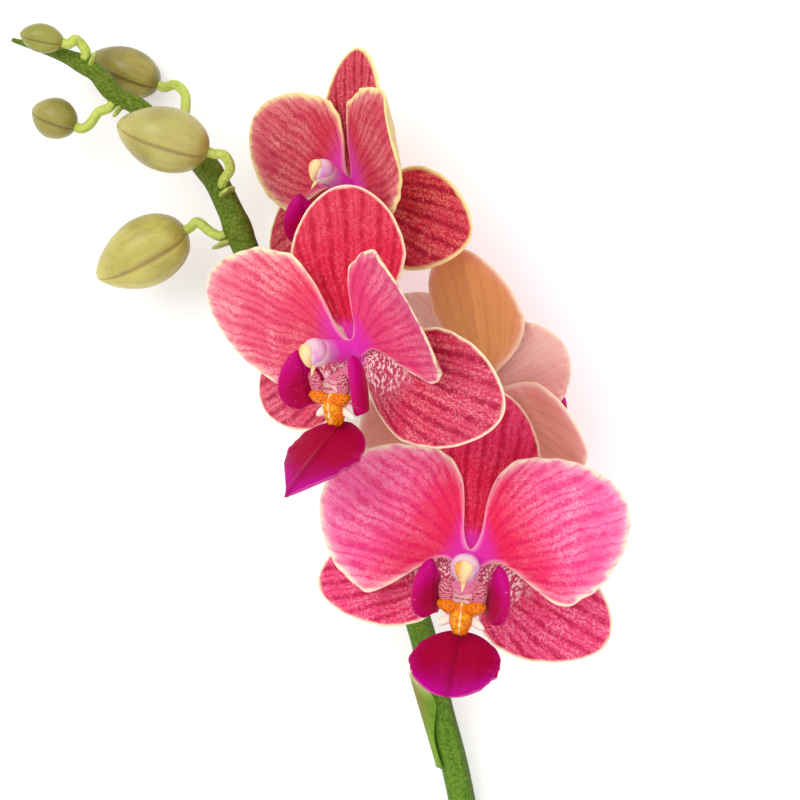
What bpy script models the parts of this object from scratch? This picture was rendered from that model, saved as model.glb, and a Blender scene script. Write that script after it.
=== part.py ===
"""Cut flower spray of a moth orchid (Phalaenopsis hybrid), laid on its back.

The spray carries four open flowers and five buds on one arching stem. It lies on the plane Z = 0 on
three low points: its cut end, the lip of the flower that faces down, and one bud near its tip.
Lengths in the tables below are millimetres; the model is built in metres with +Z up.
"""

import math
from dataclasses import dataclass, field

import bmesh
import bpy
import numpy as np
from mathutils import Matrix, Vector

MM = 0.001

# The origin is under the middle of the spray; this moves the tables' own zero there.
TABLE_ZERO = (19.82, 16.94, 0.01)

# Thickness of the soft tissues and the clearance between neighbouring pieces.
TEPAL_THICKNESS = 0.8
LIP_THICKNESS = 0.9
BRACT_THICKNESS = 0.8
CLEARANCE = 0.3

# Grid sizes: rows run from base to tip, columns from margin to margin.
SEPAL_GRID = (9, 6)
PETAL_GRID = (9, 8)
MIDLOBE_GRID = (8, 6)
SIDE_LOBE_GRID = (6, 4)
BRACT_GRID = (4, 2)

# The tepals' bases stand in a ring round the foot of the column.
TEPAL_RING_RADIUS = 2.5
SEPAL_BASE_HEIGHT = -0.6
PETAL_BASE_HEIGHT = 0.9


@dataclass(frozen=True)
class Margin:
    """One side of a blade: its half width grows from a claw to `widest` at `at` of the length."""

    widest: float
    at: float
    claw: float
    tip: float


@dataclass(frozen=True)
class Blade:
    """A leaf-like sheet, lying along +Y with its front facing +Z."""

    length: float
    left: Margin
    right: Margin
    base: float = 2.2
    end: float = 0.5
    arch: float = 0.0
    cup: float = 0.0
    keel: float = 0.0
    wave: float = 0.0
    waves: float = 1.5
    fold: tuple = ()


@dataclass(frozen=True)
class Pose:
    """How a tepal stands in its flower, in degrees, and how it differs in size from its pattern."""

    azimuth: float
    pitch: float
    twist: float = 0.0
    long: float = 1.0
    wide: float = 1.0
    cup: float = None
    fold: tuple = ()


@dataclass(frozen=True)
class Flower:
    """One open flower: where its centre is, which way it faces, and the pose of each tepal."""

    name: str
    centre: tuple
    yaw: float
    pitch: float
    roll: float
    dorsal: Pose
    sepal_left: Pose
    sepal_right: Pose
    petal_left: Pose
    petal_right: Pose
    size: float = 1.0
    column_droop: float = 14.0
    column_turn: float = 0.0
    stalk: tuple = field(default=())


DORSAL_SEPAL = Blade(
    length=36.5, left=Margin(12.8, 0.52, 0.95, 0.5), right=Margin(12.8, 0.52, 0.95, 0.5),
    arch=0.06, cup=0.05, keel=0.6,
)
LATERAL_SEPAL = Blade(
    length=35.8, left=Margin(10.8, 0.56, 0.8, 0.54), right=Margin(12.8, 0.42, 0.8, 0.54),
    arch=0.05, cup=0.05, keel=0.6,
)
PETAL = Blade(
    length=36.0, left=Margin(17.6, 0.41, 1.25, 0.5), right=Margin(17.2, 0.44, 2.6, 0.5),
    arch=0.05, cup=-0.05, keel=0.3, wave=0.5,
)
LIP_MIDLOBE = Blade(
    length=22.6, left=Margin(9.8, 0.4, 0.9, 0.64), right=Margin(9.8, 0.4, 0.9, 0.64),
    base=2.0, end=0.8, cup=-0.1, keel=0.5,
)
LIP_SIDE_LOBE = Blade(
    length=11.6, left=Margin(4.6, 0.5, 0.7, 0.55), right=Margin(5.0, 0.6, 0.7, 0.5),
    base=2.6, end=0.8, arch=-0.16, cup=0.22,
)
LIP_CLAW = Blade(
    length=14.0, left=Margin(5.0, 0.62, 0.5, 0.8), right=Margin(5.0, 0.62, 0.5, 0.8),
    base=1.0, end=1.8, cup=0.6,
)
FLORAL_BRACT = Blade(
    length=4.8, left=Margin(2.2, 0.35, 0.5, 0.8), right=Margin(2.2, 0.35, 0.5, 0.8),
    base=1.9, end=0.5, cup=0.15,
)
SHEATH_BRACT = Blade(
    length=23.0, left=Margin(4.4, 0.3, 0.4, 0.75), right=Margin(4.4, 0.3, 0.4, 0.75),
    base=3.4, end=0.5, cup=0.75,
)

BRACT_STEM_RADIUS = 3.3

# Where the lip's lobes and callus stand in a flower of full size.
MIDLOBE_BASE = (0.0, -16.0, 2.0)
MIDLOBE_DROP = 37.0
CLAW_BASE = (0.0, -3.6, 0.3)
CLAW_RISE = 14.0
SIDE_LOBE_BASE = (6.3, -12.3, 6.4)
SIDE_LOBE_TURN = -60.0
SIDE_LOBE_LEAN = 17.0
SIDE_LOBE_TILT = 16.0
CALLUS_CENTRE = (0.0, -12.8, 6.2)
CALLUS_RADII = (2.4, 3.6, 2.2)
CALLUS_WING_RADII = (4.2, 1.9, 1.3)
CALLUS_WING_RISE = (0.0, 1.5, 0.7)

# The column: radius against distance from its foot, then the anther cap on its end.
COLUMN_FOOT = -0.3
COLUMN_LENGTH = 11.2
COLUMN_PROFILE = ((0.0, 1.6), (2.2, 1.6), (3.4, 2.3), (5.5, 2.6), (8.5, 2.6), (10.3, 2.9), (11.2, 2.6))
COLUMN_SIDES = 10
BEAK_AT = 9.9
BEAK_LENGTH = 4.8
BEAK_RADIUS = 1.3
BEAK_LEAN = -14.0
CAP_RADIUS = 2.6
CAP_HEIGHT = 2.3
RECEPTACLE_RADIUS = 2.6
RECEPTACLE_DEPTH = 1.5

FLOWERS = (
    Flower(
        name="front", centre=(15.4, -35.3, 44.0), yaw=-7.0, pitch=-4.0, roll=-6.0,
        dorsal=Pose(90.0, -6.0, 4.0, 1.0, 1.01),
        sepal_left=Pose(-15.0, -14.0, -2.0, 0.97, 0.96),
        sepal_right=Pose(-26.0, -14.0, 11.0, 0.94, 1.12),
        petal_left=Pose(24.0, 4.0, -6.0, 0.94, 1.08),
        petal_right=Pose(26.0, 4.0, 0.0, 0.95, 1.02),
        column_droop=11.0,
        stalk=((16.3, -36.2, 33.0), (12.8, -37.2, 23.5), (5.8, -38.2, 17.3)),
    ),
    Flower(
        name="middle", centre=(-9.9, 10.9, 51.0), yaw=-36.0, pitch=2.0, roll=-5.0,
        dorsal=Pose(101.0, -2.0, 28.0, 0.93, 1.06),
        sepal_left=Pose(-24.0, -12.0, 1.0, 0.97, 0.97),
        sepal_right=Pose(-16.0, -4.0, 10.0, 1.0, 1.19),
        petal_left=Pose(14.0, 8.0, 26.0, 1.05, 0.97),
        petal_right=Pose(28.0, 14.0, 15.0, 0.94, 0.97, cup=0.05, fold=((0.0, 14.5), -3.0, 66.0, 8.0)),
        column_droop=5.0, column_turn=-20.0,
        stalk=((-5.2, 11.0, 43.5), (-6.0, 12.6, 36.0), (-12.0, 18.5, 31.0), (-19.0, 21.2, 25.9)),
    ),
    Flower(
        name="top", centre=(-10.8, 47.4, 25.5), yaw=-53.0, pitch=4.0, roll=-4.0, size=0.94,
        dorsal=Pose(95.0, -3.0, 4.0, 0.885, 0.93),
        sepal_left=Pose(-12.0, 0.8, -12.0, 0.83, 1.12),
        sepal_right=Pose(-15.0, -8.0, -4.0, 1.01, 1.08),
        petal_left=Pose(30.0, 14.0, -8.0, 0.945, 0.92),
        petal_right=Pose(29.0, 15.0, -1.0, 0.97, 0.95, cup=0.05, fold=((0.0, 25.5), -12.0, 42.0, 8.0)),
        column_droop=-27.0,
        stalk=((-5.2, 47.0, 20.5), (-5.6, 38.0, 16.5), (-13.0, 29.0, 16.5), (-22.3, 27.2, 19.0)),
    ),
    Flower(
        name="back", centre=(20.2, 2.5, 23.78), yaw=136.0, pitch=-23.0, roll=3.0,
        dorsal=Pose(98.0, -1.0, 0.0, 0.91, 1.16),
        sepal_left=Pose(-16.0, -12.0, -9.0, 0.92, 1.03),
        sepal_right=Pose(-19.0, -12.0, -4.0, 1.0, 1.0),
        petal_left=Pose(25.0, 9.0, -2.0, 0.62, 1.03),
        petal_right=Pose(23.0, 6.0, 5.0, 0.92, 0.97),
        stalk=((15.6, 0.6, 28.6), (6.0, 3.5, 32.0), (-6.0, 4.0, 30.5), (-13.2, -0.9, 26.1)),
    ),
)

# The stem's centreline from the cut end to the tip: x, y, z and radius.
STEM_ROUTE = (
    (19.7, -119.3, 2.9, 3.05), (15.6, -99.0, 5.3, 3.1), (12.6, -84.6, 7.2, 3.15), (9.6, -73.0, 8.8, 3.1),
    (4.6, -52.4, 12.0, 3.1), (0.0, -40.4, 14.0, 3.1), (-6.4, -26.4, 17.0, 3.1), (-13.7, -12.6, 19.5, 3.1),
    (-20.6, 1.1, 21.0, 3.0), (-26.9, 16.0, 21.5, 3.0), (-31.5, 26.2, 21.5, 3.0), (-35.4, 34.9, 21.0, 3.0),
    (-38.9, 43.5, 20.0, 2.9), (-44.2, 53.2, 19.0, 2.7), (-52.8, 60.6, 18.0, 2.5), (-61.1, 68.0, 17.0, 2.2),
    (-65.1, 69.9, 16.5, 2.1), (-70.0, 75.3, 16.0, 2.0), (-76.8, 79.2, 15.0, 1.7), (-89.8, 83.4, 12.5, 0.5),
)
STEM_STEP = 4.6
STEM_SIDES = 10
NODE_SWELLING = 0.35
NODE_SPREAD = 2.6

STALK_RADIUS = 1.15
STALK_SIDES = 7
STALK_STEP = 2.6

BUD_RINGS = 9
BUD_SIDES = 12
BUD_SEAM_DEPTH = 0.06


@dataclass(frozen=True)
class Bud:
    """One bud: the base and tip of its axis, its widest radii, and its stalk back to the stem."""

    name: str
    base: tuple
    tip: tuple
    radius: float
    widest_at: float
    node: tuple
    stalk: tuple


BUDS = (
    Bud("bud_1", (-76.8, 81.7, 20.0), (-86.9, 83.9, 20.4), 3.45, 0.5, (-73.7, 78.3, 16.0),
        ((-74.6, 82.6, 19.4), (-73.4, 82.0, 18.4))),
    Bud("bud_2", (-74.6, 63.0, 15.5), (-84.8, 67.2, 15.0), 4.9, 0.48, (-67.5, 71.2, 16.4),
        ((-71.6, 63.4, 15.8), (-69.3, 66.3, 16.2))),
    Bud("bud_3", (-56.4, 73.6, 6.5), (-72.7, 80.6, 4.9), 5.9, 0.45, (-53.6, 60.9, 17.9),
        ((-52.6, 73.5, 8.5), (-49.9, 71.0, 12.5), (-49.5, 66.4, 16.0))),
    Bud("bud_4", (-43.2, 55.9, 29.0), (-63.6, 62.1, 31.0), 7.5, 0.45, (-44.8, 52.8, 19.0),
        ((-39.7, 55.2, 28.5), (-38.4, 52.5, 27.0), (-40.2, 49.9, 23.6))),
    Bud("bud_5", (-49.2, 39.0, 18.0), (-69.8, 28.2, 15.5), 8.1, 0.43, (-37.4, 39.8, 20.4),
        ((-46.7, 40.8, 18.7), (-43.2, 38.4, 19.5))),
)

SHEATH_BASE = (12.0, -84.5, 7.3)
SHEATH_TIP = (2.2, -62.6, 11.5)


@dataclass(frozen=True)
class Finish:
    """Colour (linear RGB) and roughness of one tissue."""

    name: str
    colour: tuple
    roughness: float


SEPAL_FINISH = Finish("sepal_red", (0.62, 0.05, 0.13), 0.55)
PETAL_FINISH = Finish("petal_pink", (0.78, 0.16, 0.30), 0.55)
LIP_FINISH = Finish("lip_magenta", (0.38, 0.005, 0.17), 0.4)
CALLUS_FINISH = Finish("callus_yellow", (0.85, 0.38, 0.03), 0.45)
COLUMN_FINISH = Finish("column_violet", (0.75, 0.32, 0.72), 0.4)
CAP_FINISH = Finish("anther_cream", (0.90, 0.80, 0.55), 0.4)
BUD_FINISH = Finish("bud_green", (0.42, 0.38, 0.10), 0.5)
STEM_FINISH = Finish("stem_green", (0.13, 0.28, 0.03), 0.5)
STALK_FINISH = Finish("stalk_green", (0.36, 0.47, 0.09), 0.5)


def clear_scene():
    """Remove whatever objects the scene holds."""
    for obj in list(bpy.data.objects):
        bpy.data.objects.remove(obj, do_unlink=True)


def material(finish):
    """The Principled material of one finish, made once."""
    found = bpy.data.materials.get(finish.name)
    if found:
        return found
    made = bpy.data.materials.new(finish.name)
    made.use_nodes = True
    shader = made.node_tree.nodes["Principled BSDF"]
    shader.inputs["Base Color"].default_value = (*finish.colour, 1.0)
    shader.inputs["Roughness"].default_value = finish.roughness
    shader.inputs["Metallic"].default_value = 0.0
    made.diffuse_color = (*finish.colour, 1.0)
    return made


def add_object(name, mesh, finish, parent=None, local=None):
    """Link a mesh as an object with its finish, under a parent at a local matrix."""
    obj = bpy.data.objects.new(name, mesh)
    bpy.context.scene.collection.objects.link(obj)
    mesh.materials.append(material(finish))
    mesh.shade_smooth()
    if parent:
        obj.parent = parent
    if local:
        obj.matrix_local = local
    return obj


def mesh_from(name, verts, faces):
    """A mesh in metres from millimetre points and faces, with its normals made to agree."""
    mesh = bpy.data.meshes.new(name)
    mesh.from_pydata([tuple(v) for v in np.asarray(verts) * MM], [], faces)
    work = bmesh.new()
    work.from_mesh(mesh)
    bmesh.ops.recalc_face_normals(work, faces=work.faces)
    work.to_mesh(mesh)
    work.free()
    return mesh


def half_width(margin, along):
    """Half width of a blade at fractions of its length: a sine hump with claw and tip powers."""
    skew = math.log(0.5) / math.log(margin.at)
    hump = np.clip(np.sin(np.pi * along ** skew), 0.0, 1.0)
    return margin.widest * hump ** np.where(along < margin.at, margin.claw, margin.tip)


def fold_points(points, fold):
    """Bend a sheet forward round a line: past the line it follows an arc, then runs straight on."""
    (line_x, line_y), heading, angle, radius = fold
    along = np.array([math.cos(math.radians(heading)), math.sin(math.radians(heading))])
    across = np.array([-along[1], along[0]])
    flat = points[..., :2] - (line_x, line_y)
    run, reach, lift = flat @ along, flat @ across, points[..., 2]
    turn = math.radians(angle)
    arc = np.clip(reach / radius, 0.0, turn)
    straight = np.clip(reach - radius * turn, 0.0, None)
    bent = np.where(reach > 0, radius * np.sin(arc) + straight * np.cos(arc) - lift * np.sin(arc), reach)
    raised = np.where(
        reach > 0, radius * (1 - np.cos(arc)) + straight * np.sin(arc) + lift * np.cos(arc), lift)
    flat = run[..., None] * along + bent[..., None] * across + (line_x, line_y)
    return np.concatenate([flat, raised[..., None]], axis=-1)


def blade_points(blade, grid, size=1.0, mirrored=False):
    """Grid of points on a blade's middle surface, rows closer together at its base and tip."""
    rows, columns = grid
    along = (1 - np.cos(np.pi * np.linspace(0, 1, rows + 1)[:, None])) / 2
    across = np.linspace(-1, 1, columns + 1)[None, :]
    widths = [
        np.sqrt(half_width(side, along) ** 2 + (blade.base * (1 - along) ** 2) ** 2 + blade.end ** 2)
        for side in (blade.left, blade.right)
    ]
    x = across * np.where(across < 0, widths[0], widths[1])
    y = blade.length * along + 0 * x
    broad = max(blade.left.widest, blade.right.widest)
    z = -blade.arch * blade.length * along ** 2
    z = z + blade.cup * broad * (x / broad) ** 2 * np.sqrt(np.clip(np.sin(np.pi * along ** 0.7), 0, 1))
    z = z - blade.keel * np.exp(-(x / (0.09 * broad)) ** 2) * 4 * along * (1 - along)
    phase = 1.3 * (across > 0)
    z = z + blade.wave * np.sin(2 * np.pi * blade.waves * along + phase) * (x / broad) ** 2 * along
    points = np.stack([x, y, z], axis=-1)
    if blade.fold:
        points = fold_points(points, blade.fold)
    if mirrored:
        points = points * (-1, 1, 1)
    return points * size


def sheet_mesh(name, points, mirrored=False):
    """A triangulated sheet from a grid of points, its diagonals alternating."""
    rows, columns = points.shape[0] - 1, points.shape[1] - 1
    faces = []
    for row in range(rows):
        for column in range(columns):
            a = row * (columns + 1) + column
            b, c, d = a + 1, a + columns + 1, a + columns + 2
            pair = [(a, b, d), (a, d, c)] if (row + column) % 2 == 0 else [(a, b, c), (b, d, c)]
            faces += [face[::-1] for face in pair] if mirrored else pair
    mesh = bpy.data.meshes.new(name)
    mesh.from_pydata([tuple(v) for v in points.reshape(-1, 3) * MM], [], faces)
    return mesh


def thicken(obj, thickness):
    """Give a sheet its thickness, half to each side."""
    solidify = obj.modifiers.new("thickness", "SOLIDIFY")
    solidify.thickness = thickness * MM
    solidify.offset = 0.0
    solidify.use_rim = True
    return obj


def tepal_matrix(azimuth, pitch, twist, height, size):
    """Place of a tepal in its flower: twisted, pitched, moved out to the ring and turned."""
    out = Matrix.Translation((0.0, TEPAL_RING_RADIUS * size * MM, height * size * MM))
    return (
        Matrix.Rotation(math.radians(azimuth - 90), 4, "Z") @ out
        @ Matrix.Rotation(math.radians(pitch), 4, "X") @ Matrix.Rotation(math.radians(twist), 4, "Y")
    )


def fitted(pattern, pose):
    """The blade of one tepal: its pattern stretched to the pose's size."""
    def margin(side):
        return Margin(side.widest * pose.long * pose.wide, side.at, side.claw, side.tip)

    return Blade(
        length=pattern.length * pose.long, left=margin(pattern.left), right=margin(pattern.right),
        base=pattern.base, end=pattern.end, arch=pattern.arch,
        cup=pattern.cup if pose.cup is None else pose.cup,
        keel=pattern.keel, wave=pattern.wave, waves=pattern.waves, fold=pose.fold,
    )


def add_tepal(name, pattern, pose, flower, centre, left=False):
    """One sepal or petal; a left one is the mirror image of a right one."""
    petal = pattern is PETAL
    points = blade_points(fitted(pattern, pose), PETAL_GRID if petal else SEPAL_GRID, flower.size, left)
    height = PETAL_BASE_HEIGHT if petal else SEPAL_BASE_HEIGHT
    azimuth, twist = (180 - pose.azimuth, -pose.twist) if left else (pose.azimuth, pose.twist)
    obj = add_object(
        name, sheet_mesh(name, points, left), PETAL_FINISH if petal else SEPAL_FINISH, centre,
        tepal_matrix(azimuth, pose.pitch, twist, height, flower.size),
    )
    return thicken(obj, TEPAL_THICKNESS)


def fuse(main, others):
    """Join solids into the first one with one Boolean union, applied."""
    pieces = bpy.data.collections.new("pieces")
    for obj in others:
        for home in list(obj.users_collection):
            home.objects.unlink(obj)
        pieces.objects.link(obj)
    bpy.context.scene.collection.children.link(pieces)
    union = main.modifiers.new("union", "BOOLEAN")
    union.operation = "UNION"
    union.operand_type = "COLLECTION"
    union.collection = pieces
    union.solver = "MANIFOLD"
    bpy.context.view_layer.update()
    graph = bpy.context.evaluated_depsgraph_get()
    joined = bpy.data.meshes.new_from_object(main.evaluated_get(graph))
    main.modifiers.clear()
    main.data = joined
    joined.shade_smooth()
    for obj in others:
        bpy.data.objects.remove(obj, do_unlink=True)
    bpy.data.collections.remove(pieces)
    return main


def sheet_piece(name, blade, grid, finish, centre, local, size, mirrored=False, thickness=LIP_THICKNESS):
    """A blade placed by a matrix under its flower's centre, with its thickness."""
    points = blade_points(blade, grid, size, mirrored)
    return thicken(add_object(name, sheet_mesh(name, points, mirrored), finish, centre, local), thickness)


def scaled(point, size):
    """A table point in metres, scaled to the flower."""
    return Vector(point) * size * MM


def turn(degrees, axis):
    """A rotation matrix about one axis."""
    return Matrix.Rotation(math.radians(degrees), 4, axis)


def add_lip(flower, centre):
    """The lip: claw, broad middle lobe and two upright side lobes, grown as one."""
    size = flower.size
    heading = Matrix.Translation(scaled(MIDLOBE_BASE, size)) @ turn(180, "Z") @ turn(90 - MIDLOBE_DROP, "X")
    middle = sheet_piece(f"{flower.name}_lip", LIP_MIDLOBE, MIDLOBE_GRID, LIP_FINISH, centre, heading, size)
    claw_place = Matrix.Translation(scaled(CLAW_BASE, size)) @ turn(180, "Z") @ turn(CLAW_RISE, "X")
    parts = [sheet_piece("claw", LIP_CLAW, SIDE_LOBE_GRID, LIP_FINISH, centre, claw_place, size)]
    for side in (1, -1):
        place = (
            Matrix.Translation(scaled((side * SIDE_LOBE_BASE[0], *SIDE_LOBE_BASE[1:]), size))
            @ turn(SIDE_LOBE_TILT, "X") @ turn(-side * SIDE_LOBE_LEAN, "Z")
            @ turn(side * SIDE_LOBE_TURN, "Y")
        )
        parts.append(sheet_piece(
            "side_lobe", LIP_SIDE_LOBE, SIDE_LOBE_GRID, LIP_FINISH, centre, place, size, side < 0))
    return fuse(middle, parts)


def ellipsoid_mesh(name, radii, size):
    """A ball stretched to three radii."""
    mesh = bpy.data.meshes.new(name)
    work = bmesh.new()
    bmesh.ops.create_uvsphere(work, u_segments=10, v_segments=6, radius=1.0)
    bmesh.ops.scale(work, vec=scaled(radii, size), verts=work.verts)
    work.to_mesh(mesh)
    work.free()
    return mesh


def add_callus(flower, centre):
    """The warty crest on the lip between its side lobes: a long boss with a low wing to each side."""
    size = flower.size
    place = Matrix.Translation(scaled(CALLUS_CENTRE, size)) @ turn(20, "X")
    boss = add_object(
        f"{flower.name}_callus", ellipsoid_mesh("callus", CALLUS_RADII, size), CALLUS_FINISH, centre, place)
    wings = add_object(
        "wings", ellipsoid_mesh("wings", CALLUS_WING_RADII, size), CALLUS_FINISH, centre,
        place @ Matrix.Translation(scaled(CALLUS_WING_RISE, size)))
    return fuse(boss, [wings])


def rings_mesh(name, rings):
    """A closed skin over a list of rings of points, capped flat at both ends."""
    count = len(rings[0])
    verts = [point for ring in rings for point in ring]
    faces = [tuple(range(count))[::-1], tuple(range((len(rings) - 1) * count, len(rings) * count))]
    for ring in range(len(rings) - 1):
        for side in range(count):
            a, b = ring * count + side, ring * count + (side + 1) % count
            faces.append((a, b, b + count, a + count))
    return mesh_from(name, verts, faces)


def circle(radius, height, sides):
    """Points of a level circle."""
    angles = np.arange(sides) * 2 * np.pi / sides
    return np.stack([radius * np.cos(angles), radius * np.sin(angles), np.full(sides, height)], axis=-1)


def column_matrix(flower):
    """Stand of the column in its flower: forward, drooping, turned aside."""
    return turn(flower.column_turn, "Y") @ turn(flower.column_droop, "X")


def add_column(flower, centre):
    """The column with the pointed beak under its head."""
    size = flower.size
    rings = [circle(radius * size, height * size, COLUMN_SIDES) for height, radius in COLUMN_PROFILE]
    place = column_matrix(flower)
    lift = Matrix.Translation(scaled((0.0, 0.0, COLUMN_FOOT), size))
    column = add_object(
        f"{flower.name}_column", rings_mesh("column", rings), COLUMN_FINISH, centre, place @ lift)
    beak_rings = [circle(BEAK_RADIUS * size * (1 - 0.9 * s), BEAK_LENGTH * size * s, 6) for s in (0, 0.5, 1)]
    stand = lift @ Matrix.Translation(scaled((0.0, 0.0, BEAK_AT), size)) @ turn(90 + BEAK_LEAN, "X")
    beak = add_object("beak", rings_mesh("beak", beak_rings), COLUMN_FINISH, centre, place @ stand)
    return fuse(column, [beak])


def add_anther_cap(flower, centre):
    """The domed cap over the pollen, on the end of the column."""
    size = flower.size
    steps = (0.0, 0.35, 0.7, 0.92)
    rings = [
        circle(CAP_RADIUS * size * math.sqrt(1 - s * s), CAP_HEIGHT * size * s, COLUMN_SIDES) for s in steps]
    seat = Matrix.Translation((0.0, 0.0, ((COLUMN_LENGTH + COLUMN_FOOT) * size + CLEARANCE) * MM))
    return add_object(
        f"{flower.name}_anther_cap", rings_mesh("cap", rings), CAP_FINISH, centre,
        column_matrix(flower) @ seat)


def smooth_route(points, step):
    """Points about `step` apart on a centripetal curve through the given ones."""
    points = np.asarray(points, float)
    ends = np.vstack([2 * points[0] - points[1], points, 2 * points[-1] - points[-2]])
    out = []
    for index in range(1, len(ends) - 2):
        p0, p1, p2, p3 = ends[index - 1:index + 3]
        gaps = [max(np.linalg.norm((b - a)[:3]), 1e-6) ** 0.5 for a, b in ((p0, p1), (p1, p2), (p2, p3))]
        t1, t2, t3 = np.cumsum(gaps)
        count = max(1, int(round(np.linalg.norm((p2 - p1)[:3]) / step)))
        for t in t1 + (t2 - t1) * np.arange(count) / count:
            a1 = (t1 - t) / t1 * p0 + t / t1 * p1
            a2 = (t2 - t) / (t2 - t1) * p1 + (t - t1) / (t2 - t1) * p2
            a3 = (t3 - t) / (t3 - t2) * p2 + (t - t2) / (t3 - t2) * p3
            b1 = (t2 - t) / t2 * a1 + t / t2 * a2
            b2 = (t3 - t) / (t3 - t1) * a2 + (t - t1) / (t3 - t1) * a3
            out.append((t2 - t) / (t2 - t1) * b1 + (t - t1) / (t2 - t1) * b2)
    return np.array(out + [points[-1]])


def tube_mesh(name, route, radii, sides):
    """A tube along a route, its rings carried without twist, capped flat at both ends."""
    tangents = np.gradient(route, axis=0)
    tangents /= np.linalg.norm(tangents, axis=1)[:, None]
    side = np.cross(tangents[0], (0, 0, 1.0))
    side /= np.linalg.norm(side)
    angles = np.arange(sides)[:, None] * 2 * np.pi / sides
    rings = []
    for centre, tangent, radius in zip(route, tangents, radii):
        side = side - (side @ tangent) * tangent
        side /= np.linalg.norm(side)
        up = np.cross(side, tangent)
        rings.append(centre + radius * (np.cos(angles) * side + np.sin(angles) * up))
    return rings_mesh(name, rings)


def nearest_on_stem(stem, point):
    """Centre, radius and upward tangent of the stem where it is nearest to a point."""
    index = int(np.argmin(np.linalg.norm(stem[:, :3] - point, axis=1)))
    low, high = max(index - 1, 0), min(index + 1, len(stem) - 1)
    tangent = stem[high, :3] - stem[low, :3]
    return stem[index, :3], stem[index, 3], tangent / np.linalg.norm(tangent)


def stalk_foot(stem, toward):
    """Foot of a stalk just clear of the stem's skin, and the way it leaves the stem."""
    centre, radius, tangent = nearest_on_stem(stem, toward)
    out = np.asarray(toward, float) - centre
    out = out - (out @ tangent) * tangent
    out /= np.linalg.norm(out)
    return centre + out * (radius + CLEARANCE), out, tangent


def add_stalk(name, route, end_radius):
    """A stalk along a route, widening at its far end; the knob grows over its last millimetres."""
    curve = smooth_route(route, STALK_STEP)
    left = np.linalg.norm(curve - curve[-1], axis=1)
    radii = STALK_RADIUS + (end_radius - STALK_RADIUS) * np.exp(-(left / 2.2) ** 2)
    return add_object(name, tube_mesh(name, curve, radii, STALK_SIDES), STALK_FINISH)


def stem_curve():
    """The stem's rings: centre and radius, swollen a little at each node."""
    curve = smooth_route(STEM_ROUTE, STEM_STEP)
    for node in [flower.stalk[-1] for flower in FLOWERS] + [bud.node for bud in BUDS]:
        near = np.linalg.norm(curve[:, :3] - nearest_on_stem(curve, node)[0], axis=1)
        curve[:, 3] += NODE_SWELLING * np.exp(-(near / NODE_SPREAD) ** 2)
    return curve


def frame_matrix(origin, along, face):
    """A matrix whose Y runs along one direction and whose Z is nearest to another."""
    along = Vector(along).normalized()
    face = Vector(face)
    face = (face - face.dot(along) * along).normalized()
    side = along.cross(face)
    columns = Matrix((side, along, face)).transposed().to_4x4()
    return Matrix.Translation(Vector(origin) * MM) @ columns


def add_stem(stem):
    """The stem with a small pointed bract grown on it below each stalk."""
    tube = tube_mesh("stem", stem[:, :3], stem[:, 3], STEM_SIDES)
    body = add_object("stem", tube, STEM_FINISH)
    bracts = []
    for toward in [flower.stalk[-1] for flower in FLOWERS] + [bud.stalk[-1] for bud in BUDS]:
        foot, out, tangent = stalk_foot(stem, np.array(toward))
        scale = nearest_on_stem(stem, np.array(toward))[1] / BRACT_STEM_RADIUS
        foot = foot - out * (CLEARANCE + 0.8) - tangent * (STALK_RADIUS + 1.2)
        place = frame_matrix(foot, out + 0.1 * tangent, tangent - 0.5 * out)
        mesh = sheet_mesh("bract", blade_points(FLORAL_BRACT, BRACT_GRID, scale))
        bracts.append(thicken(add_object("bract", mesh, STEM_FINISH, None, place), BRACT_THICKNESS))
    return fuse(body, bracts)


def add_sheath(stem):
    """The long bract that clasps the lower stem and stands away from it at its tip."""
    base, tip = np.array(SHEATH_BASE), np.array(SHEATH_TIP)
    centre, radius, tangent = nearest_on_stem(stem, base)
    side = tip - nearest_on_stem(stem, tip)[0]
    side = side - (side @ tangent) * tangent
    side /= np.linalg.norm(side)
    foot = centre + side * (radius + BRACT_THICKNESS / 2 + CLEARANCE)
    place = frame_matrix(foot, tip - foot, -side)
    mesh = sheet_mesh("sheath_bract", blade_points(SHEATH_BRACT, (7, 6)))
    return thicken(add_object("sheath_bract", mesh, STALK_FINISH, None, place), BRACT_THICKNESS)


def add_bud(bud):
    """A closed bud: an egg turned about its axis, with three shallow seams between its sepals."""
    base, tip = np.array(bud.base), np.array(bud.tip)
    axis = tip - base
    length = np.linalg.norm(axis)
    steps = (1 - np.cos(np.pi * np.linspace(0.0, 1.0, BUD_RINGS + 1))) / 2
    skew = math.log(0.5) / math.log(bud.widest_at)
    angles = np.arange(BUD_SIDES) * 2 * np.pi / BUD_SIDES
    rings = []
    for s in np.clip(steps, 0.012, 0.995):
        radius = bud.radius * math.sin(math.pi * s ** skew) ** 0.54
        seam = 1 - BUD_SEAM_DEPTH * (0.5 + 0.5 * np.cos(3 * angles)) ** 3
        rings.append(np.stack([
            radius * seam * np.cos(angles), np.full(BUD_SIDES, s * length), radius * seam * np.sin(angles),
        ], axis=-1))
    mesh = rings_mesh(bud.name, rings)
    return add_object(bud.name, mesh, BUD_FINISH, None, frame_matrix(base, axis, (0, 0, 1)))


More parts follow.
